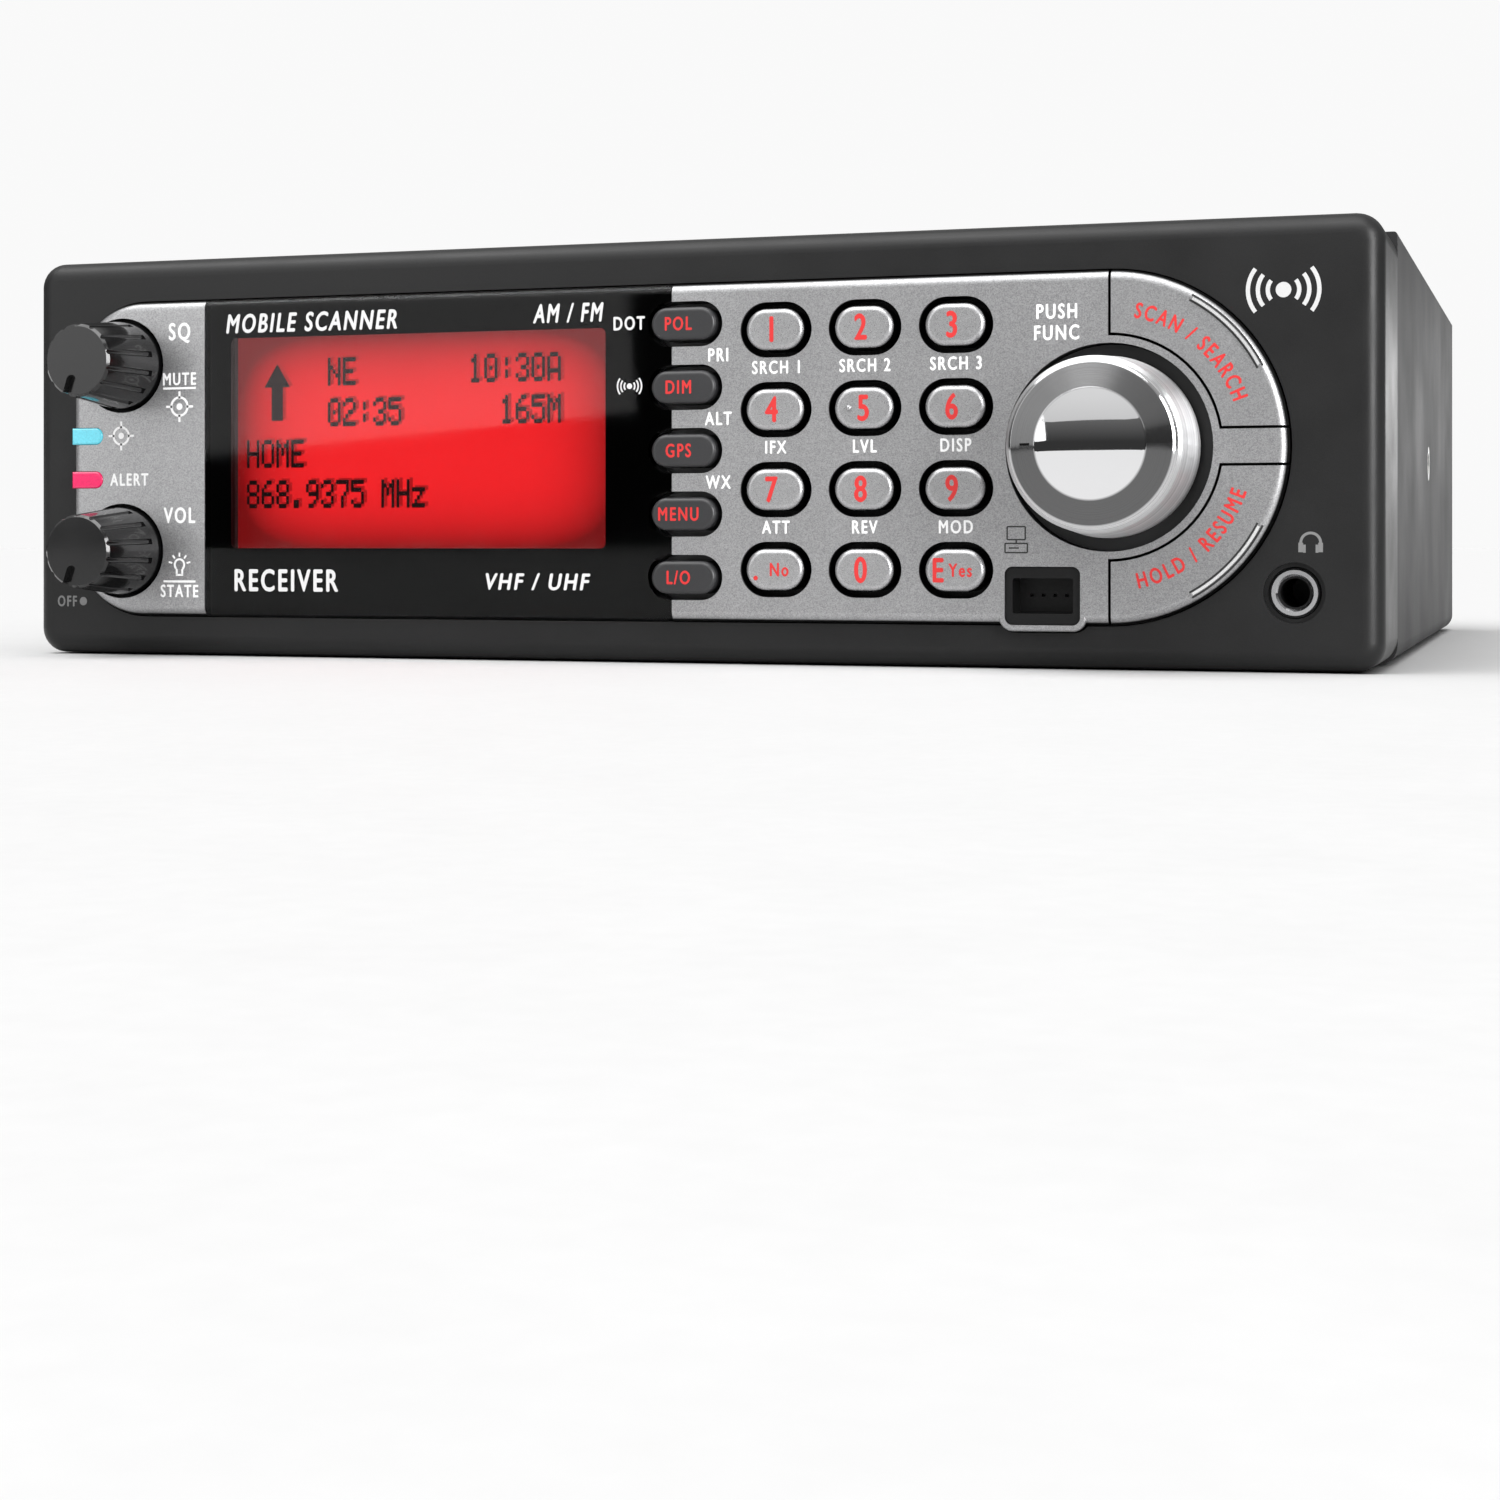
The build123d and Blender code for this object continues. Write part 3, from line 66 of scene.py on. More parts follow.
MM = 0.001
NODES = frame["nodes"]
SCENE = bpy.context.scene

# ---- printed legends ----
PRINT_DEPTH = 0.03 * MM
PRINT_SINK = 0.02 * MM
CONDENSE = 0.74
LETTER_GAP = 1.26
LETTER_WEIGHT = 0.030
WEIGHT_SHIFTS = ((-1, 0), (1, 0), (0, 0.7), (0, -0.7))
WEIGHT_STEP = 0.003 * MM
SLANT = 0.2
ARC_LETTER_GAP = 1.34
SMALL_LEGEND = 1.66 * MM
KNOB_LEGEND_OFFSET = 9.3 * MM
KEY_LEGEND_DROP = 4.87 * MM

# ---- silver paint: half the width of its edge, where it gives way to painted shade ----
PAINT_AND_SHADE_FADE = 0.12 * MM

# ---- dial and arc buttons (shares are of the dial's radius, angles in degrees) ----
DISC_EDGE = (6.6 * MM, 6.9 * MM)
TURNING_PITCH = 0.06 * MM
# Share of the dial's radius where the painted rim highlight starts.
DIAL_RIM_HIGHLIGHT_SHARE = 0.862
DIAL_FLANK_SHARES = (0.90, 0.92)
GRIP_INSET = 1.15 * MM
GRIP_START = 28.0
GRIP_END = 60.0

# ---- studio (tilt in degrees, brightness of the far background) ----
CARD_TILT = 4.5
FAR_FLOOR = 0.95
FLOOR_RADIUS = 6.0
FLOOR_DROP = 0.0002

# ---- display (how steeply the light falls off towards the sides, and up and down) ----
FALLOFF_ACROSS = 5.5
FALLOFF_UP = 3.6
GLASS_MARGIN = 1.2 * MM
DOT_WIDTH = 0.389 * MM
DOT_HEIGHT = 0.552 * MM
DOT_FILL = 1.12
ROW_PITCH = 5.69 * MM
FIRST_ROW = 7.58 * MM


def middle(node):
    """Centre of a CAD node at rest."""
    low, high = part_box(node)
    return (low + high) / 2


def front(node):
    """Y of a CAD node's front face."""
    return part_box(node)[0].y


# ---------------------------------------------------------------- materials

def new_material(name):
    """Material with its node tree, shader and object coordinates."""
    material = bpy.data.materials.new(name)
    material.use_nodes = True
    tree = material.node_tree
    shader = tree.nodes["Principled BSDF"]
    place = tree.nodes.new("ShaderNodeTexCoord").outputs["Object"]
    return material, tree, shader, place


def noise(tree, place, size, detail=2.0):
    """Noise whose features are about that size, in metres."""
    node = tree.nodes.new("ShaderNodeTexNoise")
    node.inputs["Scale"].default_value = 1.0 / size
    node.inputs["Detail"].default_value = detail
    tree.links.new(place, node.inputs["Vector"])
    return node.outputs["Fac"]


def spread(tree, value, low, high, start=0.3, end=0.7):
    """Map a 0 to 1 value onto a range."""
    node = tree.nodes.new("ShaderNodeMapRange")
    node.inputs["From Min"].default_value = start
    node.inputs["From Max"].default_value = end
    node.inputs["To Min"].default_value = low
    node.inputs["To Max"].default_value = high
    tree.links.new(value, node.inputs["Value"])
    return node.outputs["Result"]


def tint(tree, colour, factor):
    """A colour scaled by a factor."""
    node = tree.nodes.new("ShaderNodeVectorMath")
    node.operation = "SCALE"
    node.inputs[0].default_value = colour
    tree.links.new(factor, node.inputs["Scale"])
    return node.outputs["Vector"]


def combine(tree, operation, first, second=None):
    """The result of a math node whose inputs are sockets or numbers."""
    node = tree.nodes.new("ShaderNodeMath")
    node.operation = operation
    for socket, value in zip(node.inputs, (first, second)):
        if isinstance(value, bpy.types.NodeSocket):
            tree.links.new(value, socket)
        elif value is not None:
            socket.default_value = value
    return node.outputs["Value"]


def bump(tree, shader, height, strength, distance):
    """Bump from a height value."""
    node = tree.nodes.new("ShaderNodeBump")
    node.inputs["Strength"].default_value = strength
    node.inputs["Distance"].default_value = distance
    tree.links.new(height, node.inputs["Height"])
    tree.links.new(node.outputs["Normal"], shader.inputs["Normal"])


def finish(name, colour, roughness, metallic=0.0, grain=0.3 * MM, texture=0.15, uneven=0.12,
           patch=12 * MM, wear=0.06, coat=0.0, coat_roughness=0.1, specular=0.5, glow=None, glow_strength=0.0):
    """A finish with fine grain in its surface and slow changes in its colour and gloss."""
    material, tree, shader, place = new_material(name)
    fine = noise(tree, place, grain, 3.0)
    slow = noise(tree, place, patch, 4.0)
    shade = combine(
        tree, "MULTIPLY", spread(tree, fine, 1 - uneven, 1 + uneven),
        spread(tree, slow, 1 - uneven / 2, 1 + uneven / 2))
    tree.links.new(tint(tree, colour, shade), shader.inputs["Base Color"])
    rough = spread(tree, slow, max(roughness - wear, 0.02), roughness + wear)
    tree.links.new(rough, shader.inputs["Roughness"])
    shader.inputs["Metallic"].default_value = metallic
    shader.inputs["Coat Weight"].default_value = coat
    shader.inputs["Coat Roughness"].default_value = coat_roughness
    shader.inputs["Specular IOR Level"].default_value = specular
    if glow is not None:
        shader.inputs["Emission Color"].default_value = (*glow, 1)
        shader.inputs["Emission Strength"].default_value = glow_strength
    bump(tree, shader, fine, texture, grain * 0.2)
    return material


def printing_ink(name, colour, roughness=0.5, **more):
    """A printing ink: very fine grain and hardly any change in its colour."""
    return finish(name, colour, roughness, grain=0.1 * MM, texture=0.05, uneven=0.05, **more)


def along(tree, place, axis):
    """One coordinate of a place."""
    split = tree.nodes.new("ShaderNodeSeparateXYZ")
    tree.links.new(place, split.inputs["Vector"])
    return split.outputs[axis]


def metallic_paint(name, dark, light, roughness, paint_and_shade_end, flake=0.11 * MM):
    """Silver paint: flakes of slightly different brightness, going near black behind the given depth: painted shade
    on the walls of holes and gaps, on the keys partly a bare black skirt, partly painted shade.
    """
    material, tree, shader, place = new_material(name)
    cells = tree.nodes.new("ShaderNodeTexVoronoi")
    cells.inputs["Scale"].default_value = 1.0 / flake
    tree.links.new(place, cells.inputs["Vector"])
    split = tree.nodes.new("ShaderNodeSeparateColor")
    tree.links.new(cells.outputs["Color"], split.inputs["Color"])
    slow = noise(tree, place, 15 * MM, 3.0)
    value = spread(tree, split.outputs["Red"], dark, light, 0.0, 1.0)
    both = combine(tree, "MULTIPLY", value, spread(tree, slow, 0.95, 1.05))
    depth = along(tree, place, "Y")
    # Painted shade: deeper than the paint's edge the colour falls to near black.
    paint_and_shade_cover = spread(tree, depth, 1.0, 0.012, paint_and_shade_end - PAINT_AND_SHADE_FADE, paint_and_shade_end + PAINT_AND_SHADE_FADE)
    painted = combine(tree, "MULTIPLY", both, paint_and_shade_cover)
    tree.links.new(tint(tree, (1.0, 1.0, 1.015), painted), shader.inputs["Base Color"])
    rough = spread(tree, split.outputs["Green"], roughness - 0.06, roughness + 0.06, 0.0, 1.0)
    tree.links.new(rough, shader.inputs["Roughness"])
    shader.inputs["Metallic"].default_value = 0.85
    bump(tree, shader, split.outputs["Blue"], 0.05, 0.01 * MM)
    return material


def from_axis(tree, place, centre):
    """Distance from a Y axis through a point."""
    shift = tree.nodes.new("ShaderNodeVectorMath")
    shift.operation = "SUBTRACT"
    shift.inputs[1].default_value = centre
    tree.links.new(place, shift.inputs[0])
    flat = tree.nodes.new("ShaderNodeVectorMath")
    flat.operation = "MULTIPLY"
    flat.inputs[1].default_value = (1, 0, 1)
    tree.links.new(shift.outputs["Vector"], flat.inputs[0])
    length = tree.nodes.new("ShaderNodeVectorMath")
    length.operation = "LENGTH"
    tree.links.new(flat.outputs["Vector"], length.inputs[0])
    return length.outputs["Value"]


def dial_metal():
    """Spun metal with fine turning rings, mirror bright on the centre disc and satin on the flank; the ring has a
    dark base, a painted shade, and its outer rim a brighter one, a painted highlight.
    """
    material, tree, shader, place = new_material("dial_chrome")
    radius = from_axis(tree, place, middle("function_knob"))
    rings = tree.nodes.new("ShaderNodeTexNoise")
    rings.noise_dimensions = "1D"
    rings.inputs["Scale"].default_value = 1 / TURNING_PITCH
    tree.links.new(radius, rings.inputs["W"])
    turned = spread(tree, radius, 0.0, 1.0, *DISC_EDGE)
    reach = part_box("function_knob")[1].x - middle("function_knob").x
    # Painted highlight: the base colour grows up to 4.2 times brighter on the outer rim.
    edge = spread(tree, radius, 1.0, 4.2, DIAL_RIM_HIGHLIGHT_SHARE * reach, DIAL_RIM_HIGHLIGHT_SHARE * reach + 0.2 * MM)
    # Painted shade: the ring's metal gets a dark base of 0.115 to 0.165.
    ring = combine(tree, "MULTIPLY", spread(tree, rings.outputs["Fac"], 0.115, 0.165), edge)
    disc = tree.nodes.new("ShaderNodeMix")
    disc.inputs["A"].default_value = 0.80
    tree.links.new(turned, disc.inputs["Factor"])
    tree.links.new(ring, disc.inputs["B"])
    tree.links.new(tint(tree, (1.0, 1.0, 1.01), disc.outputs["Result"]), shader.inputs["Base Color"])
    flank_start, flank_end = (share * reach for share in DIAL_FLANK_SHARES)
    rough = combine(
        tree, "ADD", spread(tree, turned, 0.02, 0.13, 0.0, 1.0),
        spread(tree, radius, 0.0, 0.25, flank_start, flank_end))
    tree.links.new(rough, shader.inputs["Roughness"])
    shader.inputs["Metallic"].default_value = 1.0
    shader.inputs["Anisotropic"].default_value = 0.9
    shader.inputs["Anisotropic Rotation"].default_value = 0.25
    tangent = tree.nodes.new("ShaderNodeTangent")
    tangent.direction_type = "RADIAL"
    tangent.axis = "Y"
    tree.links.new(tangent.outputs["Tangent"], shader.inputs["Tangent"])
    height = combine(tree, "MULTIPLY", rings.outputs["Fac"], turned)
    bump(tree, shader, height, 0.25, 0.01 * MM)
    return material


def clear_lens():
    """Polished acrylic with faint wipe marks."""
    material, tree, shader, place = new_material("lens_clear")
    slow = noise(tree, place, 9 * MM, 4.0)
    tree.links.new(tint(tree, (0.97, 0.97, 0.98), spread(tree, slow, 0.98, 1.0)), shader.inputs["Base Color"])
    tree.links.new(spread(tree, slow, 0.015, 0.05), shader.inputs["Roughness"])
    shader.inputs["IOR"].default_value = 1.30
    shader.inputs["Transmission Weight"].default_value = 1.0
    return material


def edge_share(tree, place, centre, half, axis):
    """0 in the middle of a rectangle and 1 at its edge, along one axis."""
    shift = combine(tree, "SUBTRACT", along(tree, place, axis), centre)
    return spread(tree, combine(tree, "ABSOLUTE", shift), 0.0, 1.0, 0.0, half)


def lit_glass():
    """Backlit red display glass, dimmer towards its edges, with a faint grain."""
    material, tree, shader, place = new_material("lcd_glass_red")
    low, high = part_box("lcd_glass")
    centre = (low + high) / 2
    across = edge_share(tree, place, centre.x, (high.x - low.x) / 2 - GLASS_MARGIN, "X")
    up = edge_share(tree, place, centre.z, (high.z - low.z) / 2 - GLASS_MARGIN, "Z")
    total = combine(
        tree, "ADD", combine(tree, "POWER", across, FALLOFF_ACROSS), combine(tree, "POWER", up, FALLOFF_UP))
    light = spread(tree, total, 1.0, 0.2, 0.0, 1.1)
    grain = noise(tree, place, 0.2 * MM, 0.0)
    lit = combine(tree, "MULTIPLY", light, spread(tree, grain, 0.97, 1.03))
    tree.links.new(tint(tree, (0.86, 0.012, 0.016), lit), shader.inputs["Emission Color"])
    shader.inputs["Emission Strength"].default_value = 1.0
    tree.links.new(tint(tree, (0.10, 0.002, 0.002), lit), shader.inputs["Base Color"])
    shader.inputs["Roughness"].default_value = 0.6
    shader.inputs["Specular IOR Level"].default_value = 0.1
    return material


def circuit_board():
    """Green solder mask with lighter copper runs under it."""
    material, tree, shader, place = new_material("board_green")
    bricks = tree.nodes.new("ShaderNodeTexBrick")
    bricks.inputs["Scale"].default_value = 90.0
    bricks.inputs["Color1"].default_value = (0.012, 0.10, 0.045, 1)
    bricks.inputs["Color2"].default_value = (0.016, 0.13, 0.055, 1)
    bricks.inputs["Mortar"].default_value = (0.035, 0.22, 0.10, 1)
    tree.links.new(place, bricks.inputs["Vector"])
    tree.links.new(bricks.outputs["Color"], shader.inputs["Base Color"])
    shader.inputs["Roughness"].default_value = 0.35
    bump(tree, shader, bricks.outputs["Fac"], 0.2, 0.02 * MM)
    return material


def make_finishes():
    """Every material, by the record's slot name."""
    return {
        "bezel_plastic": finish(
            "bezel_plastic", (0.010, 0.010, 0.0102), 0.38, grain=0.16 * MM, texture=0.3, specular=0.28),
        # Both silver paints go near black just behind their front: painted shade in the panel's holes and gaps and
        # round the key caps.
        "panel_silver": metallic_paint("panel_silver", 0.28, 0.46, 0.36, front("control_panel") + 0.45 * MM),
        "number_key_silver": metallic_paint(
            "number_key_silver", 0.34, 0.50, 0.32, front("key_1") + 0.55 * MM, flake=0.09 * MM),
        "function_key_grey": finish("function_key_grey", (0.022, 0.022, 0.0235), 0.34, grain=0.12 * MM, texture=0.1),
        "small_knob_black": finish(
            "small_knob_black", (0.004, 0.004, 0.0042), 0.16, grain=0.2 * MM, texture=0.05, specular=0.4, coat=0.4,
            coat_roughness=0.05),
        "dial_chrome": dial_metal(),
        "lens_clear": clear_lens(),
        "mask_black": finish("mask_black", (0.003, 0.003, 0.0035), 0.45, texture=0.05),
        "lcd_frame_steel": finish("lcd_frame_steel", (0.05, 0.05, 0.052), 0.45, metallic=0.6),
        "lcd_glass_red": lit_glass(),
        "guide_plastic": finish(
            "guide_plastic", (0.6, 0.05, 0.05), 0.3, glow=(0.5, 0.01, 0.01), glow_strength=0.5),
        "surround_black": finish("surround_black", (0.004, 0.004, 0.0045), 0.5, grain=0.15 * MM),
        "control_steel": finish("control_steel", (0.5, 0.5, 0.5), 0.35, metallic=1.0),
        "membrane_rubber": finish("membrane_rubber", (0.004, 0.004, 0.004), 0.75, grain=0.25 * MM, specular=0.3),
        "board_green": circuit_board(),
        "pipe_blue": finish(
            "pipe_blue", (0.10, 0.45, 0.55), 0.12, texture=0.03, coat=0.5, glow=(0.06, 0.40, 0.48),
            glow_strength=0.4),
        "pipe_red": finish(
            "pipe_red", (0.55, 0.01, 0.08), 0.12, texture=0.03, coat=0.5, glow=(0.66, 0.006, 0.11),
            glow_strength=0.4),
        "jack_black": finish("jack_black", (0.005, 0.005, 0.0052), 0.42, grain=0.2 * MM, specular=0.25),
        "nut_chrome": finish(
            "nut_chrome", (0.5, 0.5, 0.51), 0.12, metallic=1.0, grain=0.1 * MM, texture=0.02, uneven=0.04,
            wear=0.03),
        "case_black": finish(
            "case_black", (0.016, 0.016, 0.0165), 0.55, grain=0.35 * MM, texture=0.25, patch=25 * MM, specular=0.25),
        "insert_steel": finish("insert_steel", (0.58, 0.58, 0.56), 0.28, metallic=1.0, grain=0.1 * MM),
        "screw_black": finish("screw_black", (0.03, 0.03, 0.032), 0.33, metallic=0.6, grain=0.1 * MM),
        "shield_tin": finish("shield_tin", (0.66, 0.66, 0.64), 0.3, metallic=1.0, patch=6 * MM),
        "component_black": finish("component_black", (0.02, 0.02, 0.022), 0.5, grain=0.1 * MM),
        "speaker_steel": finish("speaker_steel", (0.42, 0.42, 0.42), 0.4, metallic=1.0),
        "cone_paper": finish("cone_paper", (0.02, 0.02, 0.019), 0.85, grain=0.5 * MM, texture=0.6, specular=0.2),
        "antenna_nickel": finish(
            "antenna_nickel", (0.66, 0.64, 0.60), 0.18, metallic=1.0, grain=0.1 * MM, texture=0.04),
        "power_black": finish("power_black", (0.012, 0.012, 0.012), 0.28, grain=0.2 * MM, texture=0.05),
        "serial_steel": finish("serial_steel", (0.6, 0.6, 0.58), 0.25, metallic=1.0, grain=0.12 * MM),
        "shaft_aluminium": finish("shaft_aluminium", (0.6, 0.6, 0.61), 0.3, metallic=1.0, grain=0.08 * MM),
        "actuator_white": finish("actuator_white", (0.55, 0.55, 0.53), 0.45),
    }


def dress_nodes(mats):
    """Give every CAD node the finish of its material slot."""
    for part in frame["record"]["subparts"]:
        node = NODES[part["node"]]
        for slot in node.material_slots:
            slot.material = mats[part["material_slot"]]


# ---------------------------------------------------------------- flat prints

class Print:
    """A thin printed layer on a face that looks to -Y, made of closed plates."""

    def __init__(self, face_y, depth=PRINT_DEPTH, sink=PRINT_SINK):
        self.mesh = bmesh.new()
        self.near = face_y - depth
        self.far = face_y + sink

    def plate(self, points):
        """Closed prism over an outline of (x, z) points, given in order."""
        loops = []
        for y in (self.near, self.far):
            loops.append([self.mesh.verts.new((x, y, z)) for x, z in points])
        self.mesh.faces.new(loops[0])
        self.mesh.faces.new(reversed(loops[1]))
        count = len(points)
        for index in range(count):
            after = (index + 1) % count
            self.mesh.faces.new((loops[0][index], loops[1][index], loops[1][after], loops[0][after]))

    def bar(self, x0, z0, x1, z1, width):
        """Straight stroke between two points."""
        along = Vector((x1 - x0, z1 - z0)).normalized()
        side = Vector((-along.y, along.x)) * width / 2
        self.plate([
            (x0 + side.x, z0 + side.y), (x0 - side.x, z0 - side.y),
            (x1 - side.x, z1 - side.y), (x1 + side.x, z1 + side.y)])

    def arc(self, x, z, radius, width, start=0.0, end=360.0, steps=28):
        """Round stroke between two angles, in degrees."""
        turns = [math.radians(start + (end - start) * i / steps) for i in range(steps + 1)]
        for first, last in zip(turns[:-1], turns[1:]):
            ring = []
            for turn, reach in ((first, 0.5), (first, -0.5), (last, -0.5), (last, 0.5)):
                r = radius + reach * width
                ring.append((x + r * math.cos(turn), z + r * math.sin(turn)))
            self.plate(ring)

    def disc(self, x, z, radius, steps=24):
        """Filled round spot."""
        turns = [2 * math.pi * i / steps for i in range(steps)]
        self.plate([(x + radius * math.cos(t), z + radius * math.sin(t)) for t in turns])

    def stamp(self, mesh, height, place):
        """Letters with heavier strokes: copies moved slightly, each at its own depth."""
        for step, (across, up) in enumerate(WEIGHT_SHIFTS):
            copy = mesh.copy()
            for vertex in copy.vertices:
                x, z = place(
                    vertex.co.x + across * LETTER_WEIGHT, vertex.co.y + up * LETTER_WEIGHT - CAPITAL_HEIGHT / 2,
                    height / CAPITAL_HEIGHT)
                y = self.near if vertex.co.z > 0 else self.far
                vertex.co = (x, y + step * WEIGHT_STEP, z)
            self.mesh.from_mesh(copy)
            bpy.data.meshes.remove(copy)
        bpy.data.meshes.remove(mesh)

    def text(self, words, x, z, height, width=None, slant=0.0):
        """Words centred on a point, with capitals of that height, pressed to a width if one is given."""
        mesh = letters(words, slant)
        centre, span = letter_span(mesh)
        press = CONDENSE if width is None else width * CAPITAL_HEIGHT / (span * height)

        def place(across, up, scale):
            return x + (across - centre) * press * scale, z + up * scale

        self.stamp(mesh, height, place)

    def bent_text(self, words, x, z, height, radius, start, end):
        """Words along an arc between two angles in degrees, read from start to end."""
        mesh = letters(words, 0.0, ARC_LETTER_GAP)
        centre, span = letter_span(mesh)
        first, last = math.radians(start), math.radians(end)
        outward = 1 if last < first else -1

        def place(across, up, scale):
            angle = first + (last - first) * ((across - centre) / span + 0.5)
            reach = radius + outward * up * scale
            return x + reach * math.cos(angle), z + reach * math.sin(angle)

        self.stamp(mesh, height, place)

    def piece(self, name, material, body):
        """The finished layer as an object that rides on a body."""
        bmesh.ops.remove_doubles(self.mesh, verts=self.mesh.verts, dist=1e-7)
        bmesh.ops.recalc_face_normals(self.mesh, faces=self.mesh.faces)
        data = bpy.data.meshes.new(name)
        self.mesh.to_mesh(data)
        self.mesh.free()
        data.materials.append(material)
        piece = bpy.data.objects.new(name, data)
        SCENE.collection.objects.link(piece)
        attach(piece, body)


def letter_span(mesh):
    """Middle and length of a line of words."""
    across = [v.co.x for v in mesh.vertices]
    return (min(across) + max(across)) / 2, max(across) - min(across)


def letters(words, slant, gap=LETTER_GAP):
    """Mesh of words in the built-in font, one unit high, with its front at z above 0."""
    curve = bpy.data.curves.new("letters", "FONT")
    curve.body = words
    curve.space_character = gap
    curve.shear = slant
    curve.extrude = 0.5
    curve.resolution_u = 4
    holder = bpy.data.objects.new("letters", curve)
    SCENE.collection.objects.link(holder)
    shown = holder.evaluated_get(bpy.context.evaluated_depsgraph_get())
    mesh = bpy.data.meshes.new_from_object(shown)
    bpy.data.objects.remove(holder)
    bpy.data.curves.remove(curve)
    return mesh


def capital_height():
    """Height of a capital letter in the built-in font."""
    mesh = letters("H", 0.0)
    height = max(v.co.y for v in mesh.vertices)
    bpy.data.meshes.remove(mesh)
    return height


CAPITAL_HEIGHT = capital_height()


def wave_mark(layer, x, z, size):
    """Plain radio wave sign: a spot with three arcs on each side."""
    layer.disc(x, z, size * 0.11)
    for step in (1, 2, 3):
        radius = size * (0.08 + 0.14 * step)
        for facing in (0.0, 180.0):
            layer.arc(x, z, radius, size * 0.06, facing - 38, facing + 38, 12)


def target_mark(layer, x, z, size):
    """Round sight with four ticks."""
    layer.arc(x, z, size * 0.30, size * 0.075)
    layer.disc(x, z, size * 0.11)
    for turn in range(4):
        angle = math.radians(90 * turn)
        c, s = math.cos(angle), math.sin(angle)
        layer.bar(x + 0.24 * size * c, z + 0.24 * size * s, x + 0.5 * size * c, z + 0.5 * size * s, size * 0.075)


def bulb_mark(layer, x, z, size):
    """Lamp with rays."""
    layer.arc(x, z + size * 0.02, size * 0.19, size * 0.07, -50, 230, 20)
    for side in (-1, 1):
        layer.bar(x + side * size * 0.11, z - size * 0.13, x + side * size * 0.11, z - size * 0.32, size * 0.07)
    layer.bar(x - size * 0.14, z - size * 0.34, x + size * 0.14, z - size * 0.34, size * 0.07)
    for angle in (15, 52, 90, 128, 165):
        c, s = math.cos(math.radians(angle)), math.sin(math.radians(angle))
        layer.bar(x + 0.30 * size * c, z + 0.30 * size * s, x + 0.44 * size * c, z + 0.44 * size * s, size * 0.06)


def headphone_mark(layer, x, z, size):
    """Headband with two ear cups."""
    layer.arc(x, z - size * 0.05, size * 0.36, size * 0.10, 0, 180, 20)
    for side in (-1, 1):
        edge = x + side * size * 0.36
        layer.bar(edge, z - size * 0.05, edge, z - size * 0.40, size * 0.17)
        layer.bar(edge - side * size * 0.13, z - size * 0.12, edge - side * size * 0.13, z - size * 0.42, size * 0.10)


def computer_mark(layer, x, z, size):
    """Screen over a keyboard, in thin lines."""
    line = size * 0.055
    for low, high, half in ((0.02, 0.50, 0.34), (-0.46, -0.12, 0.42)):
        corners = [(-half, low), (half, low), (half, high), (-half, high)]
        for a, b in zip(corners, corners[1:] + corners[:1]):
            layer.bar(x + a[0] * size, z + a[1] * size, x + b[0] * size, z + b[1] * size, line)
    layer.bar(x - 0.28 * size, z - 0.29 * size, x + 0.10 * size, z - 0.29 * size, line)
    layer.bar(x, z + 0.02 * size, x, z - 0.12 * size, line)


def panel_legends(ink):
    """White words and signs on the silver panel."""
    layer = Print(front("control_panel"))
    squelch, volume = middle("squelch_knob"), middle("volume_knob")
    right, small = KNOB_LEGEND_OFFSET, SMALL_LEGEND
    layer.text("SQ", squelch.x + right, squelch.z + 4.61 * MM, 2.3 * MM)
    layer.text("MUTE", squelch.x + right, squelch.z - 2.06 * MM, small)
    rule_z = squelch.z - 3.37 * MM
    layer.bar(squelch.x + right - 2.6 * MM, rule_z, squelch.x + right + 2.6 * MM, rule_z, 0.3 * MM)
    target_mark(layer, squelch.x + right, squelch.z - 5.95 * MM, 4.3 * MM)
    status, alert = middle("light_pipe_status"), middle("light_pipe_alert")
    target_mark(layer, status.x + 5.5 * MM, status.z, 4.1 * MM)
    layer.text("ALERT", alert.x + 6.8 * MM, alert.z, small)
    layer.text("VOL", volume.x + right, volume.z + 5.02 * MM, 2.1 * MM)
    bulb_mark(layer, volume.x + right, volume.z - 2.0 * MM, 4.0 * MM)
    rule_z = volume.z - 4.28 * MM
    layer.bar(volume.x + right - 2.55 * MM, rule_z, volume.x + right + 2.55 * MM, rule_z, 0.3 * MM)
    layer.text("STATE", volume.x + right, volume.z - 5.62 * MM, small)
    between = middle("function_key_1").x + 4.6 * MM
    for number, words in enumerate(("PRI", "ALT", "WX")):
        above = middle("function_key_%d" % (number + 1)).z
        below = middle("function_key_%d" % (number + 2)).z
        layer.text(words, between, (above + below) / 2, small)
    rows = (
        (("key_1", "SRCH 1"), ("key_2", "SRCH 2"), ("key_3", "SRCH 3")),
        (("key_4", "IFX"), ("key_5", "LVL"), ("key_6", "DISP")),
        (("key_7", "ATT"), ("key_8", "REV"), ("key_9", "MOD")),
    )
    for row in rows:
        for key, words in row:
            place = middle(key)
            layer.text(words, place.x, place.z - KEY_LEGEND_DROP, 1.6 * MM)
    dial = middle("function_knob")
    layer.text("PUSH", dial.x - 6.45 * MM, dial.z + 17.08 * MM, 1.76 * MM)
    layer.text("FUNC", dial.x - 6.45 * MM, dial.z + 14.42 * MM, 1.76 * MM)
    layer.piece("panel_legends", ink, "radio")


